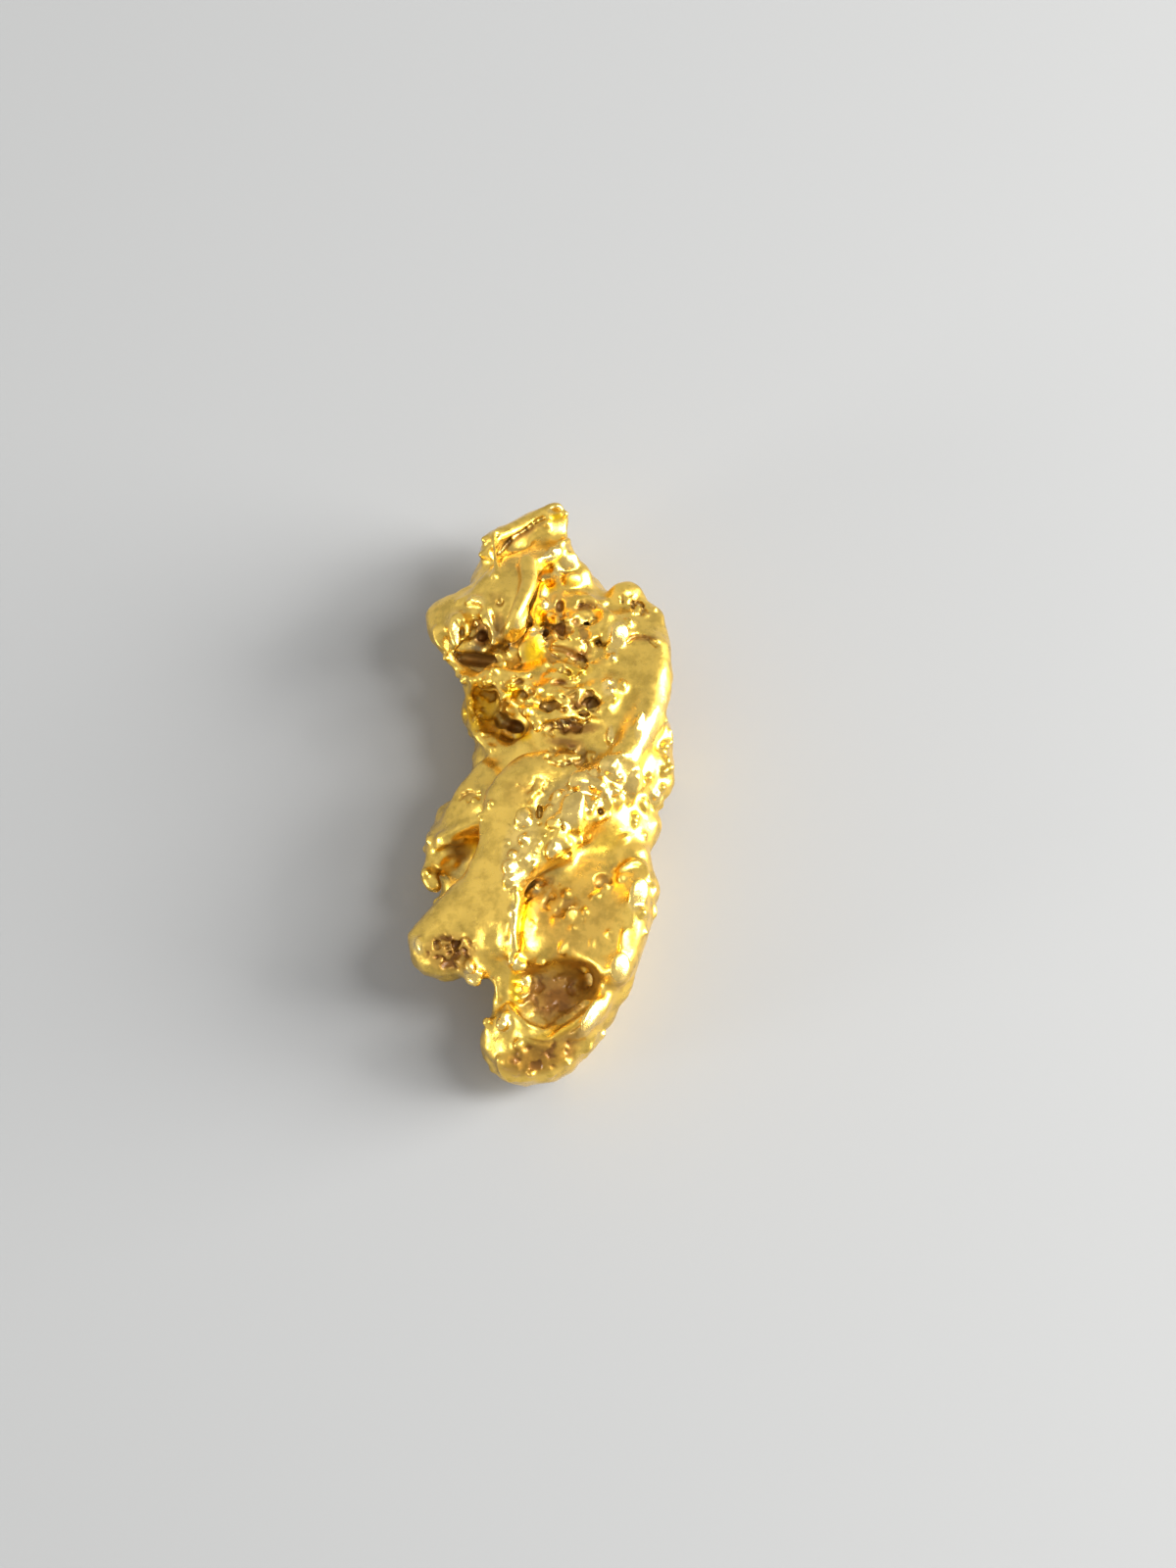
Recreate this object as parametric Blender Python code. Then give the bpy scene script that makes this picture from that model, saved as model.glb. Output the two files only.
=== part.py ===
"""A small gold nugget, water-worn and contorted: one solid that lies on its flattest side.

The nugget is worked at one unit to the millimetre, because faces far under a millimetre are too small to
be fused and thinned cleanly in metres, and it is brought to its real size in metres at the end.
"""

import math
import random

import bmesh
import bpy
from mathutils import Matrix, Vector, noise

MM = 0.001

# The show side is the one seen by someone who looks down at the lying nugget this steeply. Places on it are
# given in millimetres to the right and up from its middle, and heights over the ground.
SHOW_ELEVATION = math.radians(70)
MIDDLE_HEIGHT = 2.2

# Finenesses of the worked surface, in millimetres, and the corners of a round bar.
FUSE_VOXEL = 0.07
FINAL_VOXEL = 0.08
ROUND_STEPS = 10
STEPS_PER_STATION = 7
WANTED_TRIANGLES = 9400

# The hackly skin: beads and waves to the millimetre, and how far they rise, in millimetres.
BEADS_PER_MM = 2.4
BEAD_RISE = 0.17
BEAD_LEVEL = 0.3
WAVES_PER_MM = 1.7
WAVE_RISE = 0.07
WORN_ROUGHNESS = 0.15

# What is worn off the lowest knobs, so that the nugget lies still.
BASE_CUT = 0.22

# Places of the show side that are worn smooth, as (across, up, reach). The rest is hackly.
WORN_PLACES = (
    (-0.35, 4.75, 0.5), (-0.85, 4.1, 0.75), (-1.9, 3.85, 0.4), (1.95, 3.0, 0.9), (2.0, 2.1, 0.85),
    (-0.2, 0.4, 0.8), (-0.8, -0.4, 0.55), (-0.85, -1.2, 0.5), (-1.2, -2.0, 0.7), (-1.9, -2.5, 0.7),
    (-1.6, -0.1, 0.5), (-0.6, 5.45, 0.35), (-0.1, 5.7, 0.3), (0.9, -2.3, 0.9), (1.4, -1.2, 0.6),
    (0.9, -3.1, 0.6), (0.45, 2.6, 0.4),
)

GOLD_COLOUR = (0.86, 0.60, 0.16, 1.0)
GOLD_ROUGHNESS = 0.35


def spot(across, up, height):
    """The place of a point seen `across` and `up` on the show side, at `height` over the ground."""
    below = (height - MIDDLE_HEIGHT) * math.cos(SHOW_ELEVATION)
    return Vector((across, (up - below) / math.sin(SHOW_ELEVATION), height))


def along(points, share):
    """A point of the smooth curve through the points, with share from 0 at the first to 1 at the last."""
    last = len(points) - 1
    place = min(share * last, last - 1e-9)
    i = int(place)
    t = place - i
    a, b, c, d = (points[max(0, min(last, i + k))] for k in (-1, 0, 1, 2))
    square = 2 * a - 5 * b + 4 * c - d
    cube = 3 * b - a - 3 * c + d
    return 0.5 * (2 * b + (c - a) * t + square * t ** 2 + cube * t ** 3)


class Clay:
    """Rounded forms heaped into one mesh, to be fused afterwards."""

    def __init__(self):
        self.bm = bmesh.new()

    def lump(self, across, up, height, size, turn=(0, 0, 0)):
        """A rounded lump, whose size is its three half-widths, or one for a ball."""
        half = size if isinstance(size, tuple) else (size, size, size)
        tilt = Matrix.Rotation(math.radians(turn[2]), 4, "Z")
        tilt = tilt @ Matrix.Rotation(math.radians(turn[1]), 4, "Y")
        tilt = tilt @ Matrix.Rotation(math.radians(turn[0]), 4, "X")
        shape = Matrix.Translation(spot(across, up, height)) @ tilt @ Matrix.Diagonal((*half, 1))
        bmesh.ops.create_icosphere(self.bm, subdivisions=3, radius=1, matrix=shape)

    def limb(self, stations, flat=1.0, facing=(0, 0, 1)):
        """A bar with round ends through stations of (across, up, height, half-width).

        Its thickness across `facing` is `flat` times its width.
        """
        centres = [spot(*s[:3]) for s in stations]
        widths = [Vector((s[3], 0, 0)) for s in stations]
        count = STEPS_PER_STATION * (len(stations) - 1)
        path = [along(centres, k / count) for k in range(count + 1)]
        radii = [along(widths, k / count).x for k in range(count + 1)]
        steps = [(path[1] - path[0]).normalized(), (path[-1] - path[-2]).normalized()]
        quarter = [math.pi / 2 * k / 4 for k in range(1, 4)]
        rings = []
        for a in quarter[::-1]:
            rings.append((path[0] - steps[0] * radii[0] * math.sin(a), radii[0] * math.cos(a), steps[0]))
        for k, (centre, radius) in enumerate(zip(path, radii)):
            ahead, behind = path[min(k + 1, count)], path[max(k - 1, 0)]
            rings.append((centre, radius, (ahead - behind).normalized()))
        for a in quarter:
            rings.append((path[-1] + steps[1] * radii[-1] * math.sin(a), radii[-1] * math.cos(a), steps[1]))
        made = [self._ring(*ring, flat, Vector(facing)) for ring in rings]
        for first, second in zip(made, made[1:]):
            for k in range(ROUND_STEPS):
                n = (k + 1) % ROUND_STEPS
                self.bm.faces.new((first[k], first[n], second[n], second[k]))
        tips = (path[0] - steps[0] * radii[0], path[-1] + steps[1] * radii[-1])
        for ring, tip in ((made[0][::-1], tips[0]), (made[-1], tips[1])):
            point = self.bm.verts.new(tip)
            for k in range(ROUND_STEPS):
                self.bm.faces.new((ring[k], ring[(k + 1) % ROUND_STEPS], point))

    def beads(self, stations, count, size, seed):
        """Small round beads, strewn over a strip through stations of (across, up, height, half-width)."""
        strewn = random.Random(seed)
        for _ in range(count):
            across, up, height, width = along([Vector(s) for s in stations], strewn.random())
            side = width * strewn.uniform(-1, 1)
            lower = 0.5 * side * side / width
            round_size = size * strewn.uniform(0.7, 1.3)
            long_size = round_size * strewn.uniform(1, 1.6)
            self.lump(
                across + 0.6 * side, up + 0.8 * side, height - lower,
                (long_size, round_size, round_size), turn=(0, 0, strewn.uniform(0, 180)),
            )

    def _ring(self, centre, radius, step, flat, facing):
        side = step.cross(facing).normalized()
        thick = side.cross(step).normalized()
        turns = [2 * math.pi * k / ROUND_STEPS for k in range(ROUND_STEPS)]
        return [
            self.bm.verts.new(centre + side * radius * math.cos(a) + thick * radius * flat * math.sin(a))
            for a in turns
        ]

    def to_object(self, name):
        mesh = bpy.data.meshes.new(name)
        bmesh.ops.recalc_face_normals(self.bm, faces=self.bm.faces)
        self.bm.to_mesh(mesh)
        self.bm.free()
        made = bpy.data.objects.new(name, mesh)
        bpy.context.scene.collection.objects.link(made)
        return made


def apply_modifiers(obj):
    """Gives the object the mesh that its modifiers make."""
    graph = bpy.context.evaluated_depsgraph_get()
    mesh = bpy.data.meshes.new_from_object(obj.evaluated_get(graph))
    obj.modifiers.clear()
    obj.data = mesh


def fuse(obj, voxel, smoothings):
    """Makes one closed skin of overlapping forms, and softens the joins between them."""
    remesh = obj.modifiers.new("fuse", "REMESH")
    remesh.mode = "VOXEL"
    remesh.voxel_size = voxel
    soften = obj.modifiers.new("soften", "SMOOTH")
    soften.factor = 0.5
    soften.iterations = smoothings
    apply_modifiers(obj)


def keep_outer_skin(bm):
    """Drops crumbs, and dents that a flat has closed, so that only the largest connected skin is left."""
    unseen = set(bm.verts)
    skins = []
    while unseen:
        reached = {unseen.pop()}
        edge_of_search = list(reached)
        while edge_of_search:
            vertex = edge_of_search.pop()
            fresh = {e.other_vert(vertex) for e in vertex.link_edges} - reached
            reached |= fresh
            edge_of_search.extend(fresh)
        unseen -= reached
        skins.append(reached)
    largest = max(skins, key=len)
    loose = [vertex for vertex in bm.verts if vertex not in largest]
    bmesh.ops.delete(bm, geom=loose, context="VERTS")


def upper_end(clay):
    """The crest, the blade before it, the curled ear at its left, and the knuckles at its right."""
    # crest behind the blade, with its knobbed left end
    clay.limb(
        [(-1.1, 5.1, 2.1, 0.26), (-0.8, 5.3, 2.2, 0.24), (-0.45, 5.48, 2.2, 0.2), (-0.1, 5.7, 2.2, 0.2),
         (0.25, 5.78, 2.2, 0.2)],
    )
    clay.lump(-0.35, 5.3, 1.9, (0.85, 0.42, 0.36), turn=(0, 0, 22))
    clay.lump(-1.16, 4.96, 2.3, (0.24, 0.28, 0.26))
    clay.lump(-1.06, 5.2, 2.4, 0.17)
    clay.lump(0.38, 5.62, 2.3, (0.2, 0.26, 0.22))
    # blade, a broad tongue that comes down from the upper right tip
    clay.limb(
        [(0.42, 5.3, 2.3, 0.24), (-0.15, 4.9, 2.6, 0.38), (-0.65, 4.45, 2.8, 0.52),
         (-0.95, 4.05, 2.9, 0.6), (-0.86, 3.6, 2.9, 0.44), (-0.76, 3.2, 2.8, 0.2)],
        flat=0.4, facing=(-0.35, 0.1, 1),
    )
    # rolled right edge of the blade
    clay.limb(
        [(0.55, 5.2, 2.45, 0.13), (0.15, 4.85, 2.8, 0.12), (-0.2, 4.5, 3.05, 0.13),
         (-0.38, 4.0, 3.2, 0.13), (-0.44, 3.5, 3.2, 0.17), (-0.66, 3.12, 3.0, 0.14)],
    )
    # knuckles
    clay.lump(0.38, 4.92, 2.3, (0.3, 0.24, 0.35), turn=(0, 0, 35))
    clay.lump(0.58, 4.62, 2.15, (0.26, 0.22, 0.3))
    clay.lump(0.76, 4.34, 2.1, (0.34, 0.3, 0.45))
    clay.limb([(0.1, 4.45, 2.4, 0.13), (0.5, 4.38, 2.5, 0.12)])
    # curled ear
    clay.lump(-1.8, 3.5, 2.05, (0.62, 0.6, 0.6))
    clay.lump(-1.4, 3.9, 2.15, (0.5, 0.36, 0.45))
    clay.limb(
        [(-1.84, 2.98, 2.65, 0.13), (-1.88, 3.5, 2.75, 0.14), (-1.6, 3.64, 2.85, 0.13),
         (-1.56, 3.2, 2.75, 0.12)],
    )
    clay.limb(
        [(-1.6, 3.98, 2.6, 0.12), (-1.25, 3.85, 2.8, 0.13), (-1.16, 3.5, 2.8, 0.12),
         (-1.0, 3.1, 2.7, 0.14)],
    )
    clay.lump(-2.14, 3.2, 2.35, 0.18)
    clay.limb([(-2.12, 3.1, 2.2, 0.14), (-1.9, 2.74, 2.2, 0.16), (-1.75, 2.55, 2.1, 0.14)])
    # neck behind the ear and the blade
    clay.lump(-0.7, 4.1, 1.7, (0.85, 0.9, 0.9))
    clay.lump(0.2, 4.5, 1.6, (0.6, 0.75, 0.7))
    clay.lump(-1.35, 2.9, 1.4, (0.6, 0.7, 0.6))


def middle_sponge(clay):
    """The hackly bed between the blade and the right fold, with the basket at its left."""
    clay.lump(0.4, 3.4, 1.6, (1.2, 1.1, 1.0))
    clay.lump(0.3, 2.0, 1.8, (1.3, 1.2, 1.05))
    clay.lump(-0.5, 2.9, 1.7, (0.75, 0.6, 0.8))
    clay.lump(-0.05, 3.6, 2.2, (0.32, 0.42, 0.42))
    clay.lump(1.25, 1.35, 2.45, (0.36, 0.32, 0.45))
    # ledges across the bed
    clay.limb([(0.55, 4.0, 2.5, 0.15), (0.95, 3.9, 2.6, 0.17), (1.3, 3.6, 2.75, 0.19)])
    clay.limb([(0.05, 3.65, 2.6, 0.15), (0.12, 3.3, 2.75, 0.14)])
    clay.limb([(0.45, 3.5, 2.65, 0.14), (0.62, 3.3, 2.75, 0.14), (1.05, 3.35, 2.75, 0.15)])
    clay.limb([(0.1, 3.05, 2.75, 0.14), (0.55, 3.05, 2.8, 0.13), (1.0, 3.02, 2.8, 0.14)])
    clay.limb([(0.1, 2.62, 2.75, 0.18), (0.6, 2.5, 2.85, 0.24), (1.1, 2.55, 2.85, 0.22)], flat=0.7)
    clay.limb(
        [(-0.15, 2.15, 2.8, 0.16), (0.3, 2.05, 2.9, 0.15), (0.75, 1.95, 2.95, 0.16),
         (1.1, 2.15, 2.95, 0.16)],
    )
    clay.limb(
        [(-0.1, 1.5, 2.9, 0.18), (0.4, 1.58, 3.0, 0.18), (0.9, 1.68, 3.05, 0.17),
         (1.35, 1.5, 3.0, 0.17)],
    )
    clay.limb([(-0.28, 2.6, 2.65, 0.16), (-0.16, 2.1, 2.8, 0.14), (-0.25, 1.75, 2.8, 0.13)])
    # basket: a rim round a hollow
    clay.lump(-0.95, 1.75, 1.3, (0.72, 0.85, 0.75))
    clay.limb(
        [(-1.66, 2.42, 1.9, 0.14), (-1.58, 1.95, 1.95, 0.12), (-1.42, 1.5, 1.95, 0.12),
         (-1.2, 1.12, 2.0, 0.12), (-0.95, 0.92, 2.1, 0.14)],
    )
    clay.limb(
        [(-1.62, 2.42, 2.15, 0.16), (-1.3, 2.34, 2.5, 0.17), (-0.9, 2.14, 2.65, 0.15),
         (-0.66, 1.75, 2.75, 0.13), (-0.35, 1.6, 2.8, 0.14), (-0.1, 1.3, 2.85, 0.15)],
    )
    clay.limb([(-1.0, 2.55, 2.6, 0.18), (-0.55, 2.35, 2.7, 0.2)])
    clay.beads(
        [(-1.6, 2.3, 2.15, 0.12), (-1.5, 1.6, 2.1, 0.1), (-1.1, 1.05, 2.2, 0.1)],
        7, 0.11, seed=21,
    )
    clay.beads(
        [(-1.4, 2.4, 2.6, 0.12), (-0.7, 1.9, 2.85, 0.14), (-0.2, 1.5, 2.95, 0.14)],
        9, 0.12, seed=23,
    )
    clay.beads([(0.4, 3.6, 2.8, 0.4), (0.8, 2.8, 2.85, 0.4), (0.4, 1.9, 2.95, 0.4)], 16, 0.12, seed=26)
    clay.beads([(1.3, 2.4, 2.95, 0.2), (1.4, 1.9, 3.0, 0.15)], 6, 0.13, seed=28)


def right_fold(clay):
    """The long smooth fold down the right side, and the spongy back below it."""
    clay.limb(
        [(1.74, 3.92, 2.2, 0.4), (1.88, 3.4, 2.4, 0.66), (1.92, 2.8, 2.5, 0.74), (1.9, 2.1, 2.6, 0.76),
         (1.75, 1.4, 2.65, 0.7), (1.5, 0.85, 2.7, 0.42)],
        flat=0.42, facing=(0.2, 0, 1),
    )
    clay.lump(1.72, 4.0, 2.1, (0.42, 0.34, 0.4))
    clay.limb(
        [(2.28, 3.7, 2.2, 0.18), (2.44, 3.2, 2.35, 0.2), (2.48, 2.4, 2.55, 0.2), (2.38, 1.75, 2.7, 0.22),
         (2.18, 1.25, 2.85, 0.22), (1.92, 0.75, 2.9, 0.16)],
    )
    clay.limb([(1.95, 1.6, 2.95, 0.15), (2.02, 1.2, 3.0, 0.13)])
    clay.lump(1.55, 3.22, 2.7, (0.2, 0.36, 0.22), turn=(0, 0, -20))
    clay.lump(2.12, 0.6, 1.7, (0.55, 0.95, 0.85))
    clay.lump(2.28, 0.2, 2.1, (0.42, 0.5, 0.45))
    clay.lump(2.38, 1.05, 1.9, (0.33, 0.6, 0.5))
    clay.beads([(2.5, 1.2, 2.3, 0.15), (2.4, 0.6, 2.5, 0.3), (2.3, 0.1, 2.5, 0.3)], 16, 0.13, seed=5)


def saddle_and_foot(clay):
    """The smooth saddle across the middle, which runs down the left as a column to the blunt foot."""
    clay.limb(
        [(1.0, 0.62, 2.7, 0.3), (0.35, 0.5, 2.9, 0.46), (-0.25, 0.28, 3.0, 0.62),
         (-0.62, -0.15, 3.0, 0.6), (-0.8, -0.8, 2.95, 0.5), (-0.92, -1.4, 2.85, 0.55),
         (-1.2, -2.1, 2.65, 0.7)],
        flat=0.6, facing=(-0.2, 0, 1),
    )
    clay.lump(-0.1, -0.35, 2.6, (0.6, 0.6, 0.5))
    clay.limb([(-1.1, -2.0, 2.5, 0.66), (-1.6, -2.6, 2.3, 0.74), (-1.95, -3.0, 2.1, 0.74)], flat=0.8)
    clay.lump(-2.06, -3.12, 2.0, (0.7, 0.74, 0.62))
    clay.limb([(-0.92, -1.6, 2.75, 0.48), (-0.9, -2.4, 2.7, 0.54), (-0.9, -3.0, 2.55, 0.4)], flat=0.7)
    clay.lump(-1.4, -3.4, 2.1, (0.45, 0.4, 0.5))
    clay.limb([(-1.5, -3.5, 2.5, 0.14), (-1.4, -3.85, 2.3, 0.15)])
    # side flap, whose lower edge overhangs a hollow
    clay.limb(
        [(-1.15, 0.35, 2.3, 0.4), (-1.42, -0.05, 2.25, 0.5), (-1.62, -0.4, 2.15, 0.46),
         (-2.0, -0.78, 1.95, 0.3)],
        flat=0.4, facing=(-0.7, -0.3, 1),
    )
    clay.lump(-1.12, -0.15, 2.2, (0.35, 0.85, 0.5), turn=(0, 0, -15))
    clay.limb([(-1.3, -0.6, 2.5, 0.13), (-1.7, -0.75, 2.3, 0.13), (-2.1, -0.95, 2.05, 0.15)])
    clay.limb(
        [(-2.22, -0.95, 1.8, 0.15), (-2.32, -1.35, 1.7, 0.16), (-2.34, -1.7, 1.75, 0.2),
         (-2.2, -1.95, 1.8, 0.18)],
    )
    clay.lump(-1.5, -1.1, 1.3, (0.9, 1.1, 0.75))


def lower_end(clay):
    """The rough diagonal band, the broad pitted plate under it, and the bowl at the lower end."""
    clay.limb(
        [(1.95, 0.5, 2.65, 0.46), (1.35, 0.2, 2.9, 0.52), (0.8, -0.2, 3.05, 0.55),
         (0.35, -0.72, 3.05, 0.56), (-0.1, -1.2, 3.0, 0.52), (-0.5, -1.7, 2.95, 0.34)],
        flat=0.75,
    )
    clay.beads(
        [(1.9, 0.75, 3.0, 0.3), (1.35, 0.35, 3.25, 0.45), (0.8, -0.1, 3.4, 0.5), (0.3, -0.6, 3.45, 0.5),
         (-0.2, -1.15, 3.35, 0.35), (-0.55, -1.6, 3.25, 0.15)],
        46, 0.13, seed=3,
    )
    clay.beads(
        [(-0.35, -0.3, 3.3, 0.2), (-0.2, -0.75, 3.35, 0.25), (-0.5, -1.3, 3.25, 0.2)],
        10, 0.11, seed=8,
    )
    clay.limb(
        [(-0.62, -1.5, 3.1, 0.15), (-0.6, -2.1, 3.1, 0.16), (-0.62, -2.9, 2.95, 0.13),
         (-0.6, -3.35, 2.8, 0.15)],
    )
    clay.lump(-0.58, -3.46, 2.75, 0.2)
    # valley under the band
    clay.lump(1.75, -0.35, 2.25, (0.5, 0.36, 0.5))
    clay.limb([(2.0, -0.7, 2.05, 0.45), (1.3, -0.8, 2.25, 0.5), (0.7, -1.25, 2.35, 0.45)])
    # plate
    clay.lump(0.95, -1.75, 2.0, (1.3, 1.1, 0.68), turn=(0, 8, 0))
    clay.lump(0.8, -2.7, 2.05, (1.2, 0.9, 0.66), turn=(0, 6, 0))
    clay.limb(
        [(1.75, -1.2, 2.2, 0.42), (1.92, -2.0, 2.35, 0.46), (1.78, -2.8, 2.35, 0.42),
         (1.5, -3.5, 2.3, 0.38)],
    )
    clay.limb(
        [(-0.2, -3.3, 2.6, 0.16), (0.3, -3.25, 2.7, 0.17), (0.9, -3.4, 2.65, 0.18),
         (1.4, -3.7, 2.5, 0.2)],
    )
    clay.beads(
        [(0.2, -1.8, 2.75, 0.3), (1.2, -2.4, 2.8, 0.6), (0.2, -2.8, 2.75, 0.4)],
        14, 0.11, seed=11,
    )
    clay.lump(-0.25, -2.85, 2.35, (0.4, 0.65, 0.4))
    clay.lump(0.55, -2.42, 2.8, (0.24, 0.2, 0.2), turn=(0, 0, 30))
    clay.lump(0.35, -2.95, 2.75, (0.26, 0.17, 0.18), turn=(0, 0, 20))
    clay.lump(1.95, -2.05, 2.6, (0.24, 0.42, 0.22))
    clay.lump(1.55, -3.5, 2.55, (0.26, 0.38, 0.25))
    clay.lump(1.7, -0.8, 1.7, (0.5, 0.7, 0.7))
    # bowl
    clay.lump(-0.14, -5.08, 1.25, (1.12, 0.9, 0.8), turn=(0, 0, 12))
    clay.limb(
        [(0.1, -5.25, 1.5, 0.55), (0.7, -4.95, 1.6, 0.45), (1.15, -4.4, 1.8, 0.4),
         (1.45, -3.8, 2.0, 0.38)],
    )
    clay.limb([(0.85, -4.75, 2.15, 0.18), (1.2, -4.3, 2.3, 0.2), (1.35, -4.0, 2.3, 0.15)])
    clay.limb(
        [(-0.75, -4.5, 2.05, 0.15), (-0.45, -4.75, 2.15, 0.13), (-0.05, -5.0, 2.2, 0.14),
         (0.35, -4.85, 2.25, 0.13), (0.8, -4.5, 2.25, 0.12), (1.15, -4.25, 2.25, 0.12)],
    )
    clay.limb([(-0.75, -3.4, 2.3, 0.24), (-0.85, -4.1, 1.9, 0.17), (-0.82, -4.7, 1.8, 0.22)])
    clay.lump(-1.02, -5.0, 1.5, (0.25, 0.4, 0.45))
    clay.lump(-1.1, -4.76, 1.9, 0.15)
    clay.lump(-0.8, -4.78, 2.0, 0.17)
    clay.lump(-0.5, -5.12, 1.95, 0.14)
    clay.limb([(-0.78, -5.5, 1.6, 0.13), (-0.6, -5.76, 1.45, 0.14)])
    clay.beads(
        [(-0.9, -4.9, 1.9, 0.2), (-0.5, -5.3, 1.9, 0.3), (0.4, -5.4, 1.8, 0.3), (1.1, -4.9, 1.9, 0.15)],
        12, 0.12, seed=14,
    )
    clay.limb([(-0.35, -3.75, 2.1, 0.16), (-0.5, -4.1, 2.0, 0.15), (-0.35, -4.5, 2.0, 0.14)])


def back_side(clay):
    """The mass of the nugget and the knobs under it, which carry it when it lies down."""
    clay.lump(0.3, 3.0, 1.1, (1.5, 1.8, 0.9))
    clay.lump(0.1, 0.4, 1.4, (1.6, 1.6, 1.2))
    clay.lump(0.1, -2.2, 1.3, (1.5, 1.9, 1.1))
    clay.lump(0.2, -4.2, 1.1, (1.0, 1.2, 0.8))
    clay.limb(
        [(-1.1, 3.5, 0.95, 0.55), (-0.4, 2.6, 0.75, 0.6), (0.6, 2.3, 0.7, 0.7), (1.5, 2.5, 0.9, 0.5)],
        flat=0.8,
    )
    clay.limb(
        [(-1.8, -2.6, 0.95, 0.6), (-0.8, -1.7, 0.75, 0.7), (0.5, -1.4, 0.7, 0.6),
         (1.3, -2.1, 0.85, 0.55)],
        flat=0.85,
    )
    clay.limb([(-0.2, 4.9, 1.2, 0.5), (-0.1, 4.0, 0.8, 0.5)], flat=0.8)
    clay.limb([(0.9, -3.2, 0.8, 0.6), (0.1, -4.4, 0.75, 0.5)], flat=0.8)
    clay.limb([(1.7, 1.3, 0.9, 0.5), (0.4, 0.7, 0.75, 0.7), (-0.9, 0.2, 0.9, 0.5)], flat=0.8)
    # knobs that touch the ground
    clay.lump(-1.45, -2.5, 0.8, (0.55, 0.65, 0.62))
    clay.lump(1.25, -2.2, 0.8, (0.5, 0.65, 0.62), turn=(0, 0, 15))
    clay.lump(0.85, 2.4, 0.8, (0.75, 0.6, 0.62), turn=(0, 0, -10))
    clay.lump(-0.75, 3.3, 0.8, (0.5, 0.55, 0.62))


def hollows(cut):
    """The pits, gaps and undercuts."""
    # between the crest and the blade
    cut.limb([(-0.9, 4.98, 2.65, 0.07), (-0.44, 5.25, 2.55, 0.07), (0.06, 5.58, 2.5, 0.07)])
    # in the curl of the ear, and below it
    cut.lump(-1.38, 3.35, 2.95, (0.16, 0.34, 0.35))
    cut.limb([(-1.45, 2.75, 3.0, 0.2), (-1.25, 2.7, 2.4, 0.22), (-0.95, 2.75, 2.2, 0.2)])
    # basket
    cut.lump(-1.1, 1.75, 2.35, (0.4, 0.5, 0.55))
    cut.lump(-0.62, 1.35, 2.5, (0.38, 0.26, 0.6))
    # slots in the bed
    cut.lump(0.3, 3.75, 3.1, (0.22, 0.26, 0.5))
    cut.limb([(0.6, 3.75, 3.05, 0.1), (0.8, 3.82, 3.05, 0.12), (1.05, 3.72, 3.05, 0.1)])
    cut.lump(0.35, 3.36, 3.15, (0.36, 0.12, 0.4))
    cut.lump(0.5, 2.88, 3.2, (0.45, 0.11, 0.35), turn=(0, 0, -14))
    cut.lump(0.35, 2.25, 3.25, (0.24, 0.14, 0.4))
    cut.lump(0.88, 1.95, 3.35, (0.24, 0.12, 0.35), turn=(0, 0, 40))
    cut.lump(0.55, 1.24, 3.45, (0.5, 0.12, 0.4), turn=(0, 0, 6))
    cut.lump(-0.12, 2.95, 3.2, (0.18, 0.4, 0.5))
    cut.limb([(0.35, 4.3, 3.2, 0.13), (0.08, 4.22, 2.95, 0.16)])
    # small pits at the top of the right fold
    cut.lump(1.9, 3.85, 2.75, (0.2, 0.12, 0.2), turn=(0, 0, -20))
    cut.limb([(1.85, 3.15, 2.95, 0.08), (2.2, 2.95, 2.95, 0.08)])
    # under the side flap
    cut.lump(-1.7, -1.3, 2.3, (0.5, 0.34, 0.6), turn=(0, 0, 15))
    cut.limb([(-1.75, -0.1, 2.6, 0.08), (-1.4, -0.25, 2.75, 0.08)])
    # valley between the band and the plate
    cut.limb([(1.9, -0.9, 3.0, 0.2), (1.3, -1.0, 3.1, 0.22), (0.7, -1.4, 3.1, 0.18), (0.1, -1.9, 3.05, 0.12)])
    cut.lump(1.15, -1.85, 3.0, (0.26, 0.2, 0.3))
    cut.lump(-0.3, -2.2, 3.15, (0.13, 0.45, 0.25))
    # bowl's cavity
    cut.lump(0.2, -4.08, 2.7, (0.9, 0.6, 0.9))
    # foot's rough underside
    cut.lump(-1.85, -3.25, 3.0, (0.55, 0.3, 0.38), turn=(0, 0, 5))
    # gap between the foot and the bowl
    cut.limb([(-1.35, -4.3, 3.0, 0.28), (-1.3, -4.3, 1.8, 0.28), (-1.35, -4.3, 0.5, 0.28)])


def worn_share(point):
    """How worn the skin is at a point: 1 in the middle of a worn place, down to 0 away from them all."""
    up = point.y * math.sin(SHOW_ELEVATION) + (point.z - MIDDLE_HEIGHT) * math.cos(SHOW_ELEVATION)
    share = 0.0
    for across, height, reach in WORN_PLACES:
        away = math.hypot(point.x - across, up - height) / reach
        share = max(share, 1 - away ** 4)
    return share


def roughen(obj):
    """Raises the hackly skin: beads and dents where the nugget isn't worn, with hardly any where it is."""
    moved = []
    for vertex in obj.data.vertices:
        beads = BEAD_LEVEL - noise.voronoi(vertex.co * BEADS_PER_MM)[0][0] ** 2
        waves = noise.fractal(vertex.co * WAVES_PER_MM, 0.8, 2.0, 3)
        rough = 1 - (1 - WORN_ROUGHNESS) * worn_share(vertex.co)
        moved.append(vertex.co + vertex.normal * rough * (BEAD_RISE * beads + WAVE_RISE * waves))
    for vertex, place in zip(obj.data.vertices, moved):
        vertex.co = place


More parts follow.
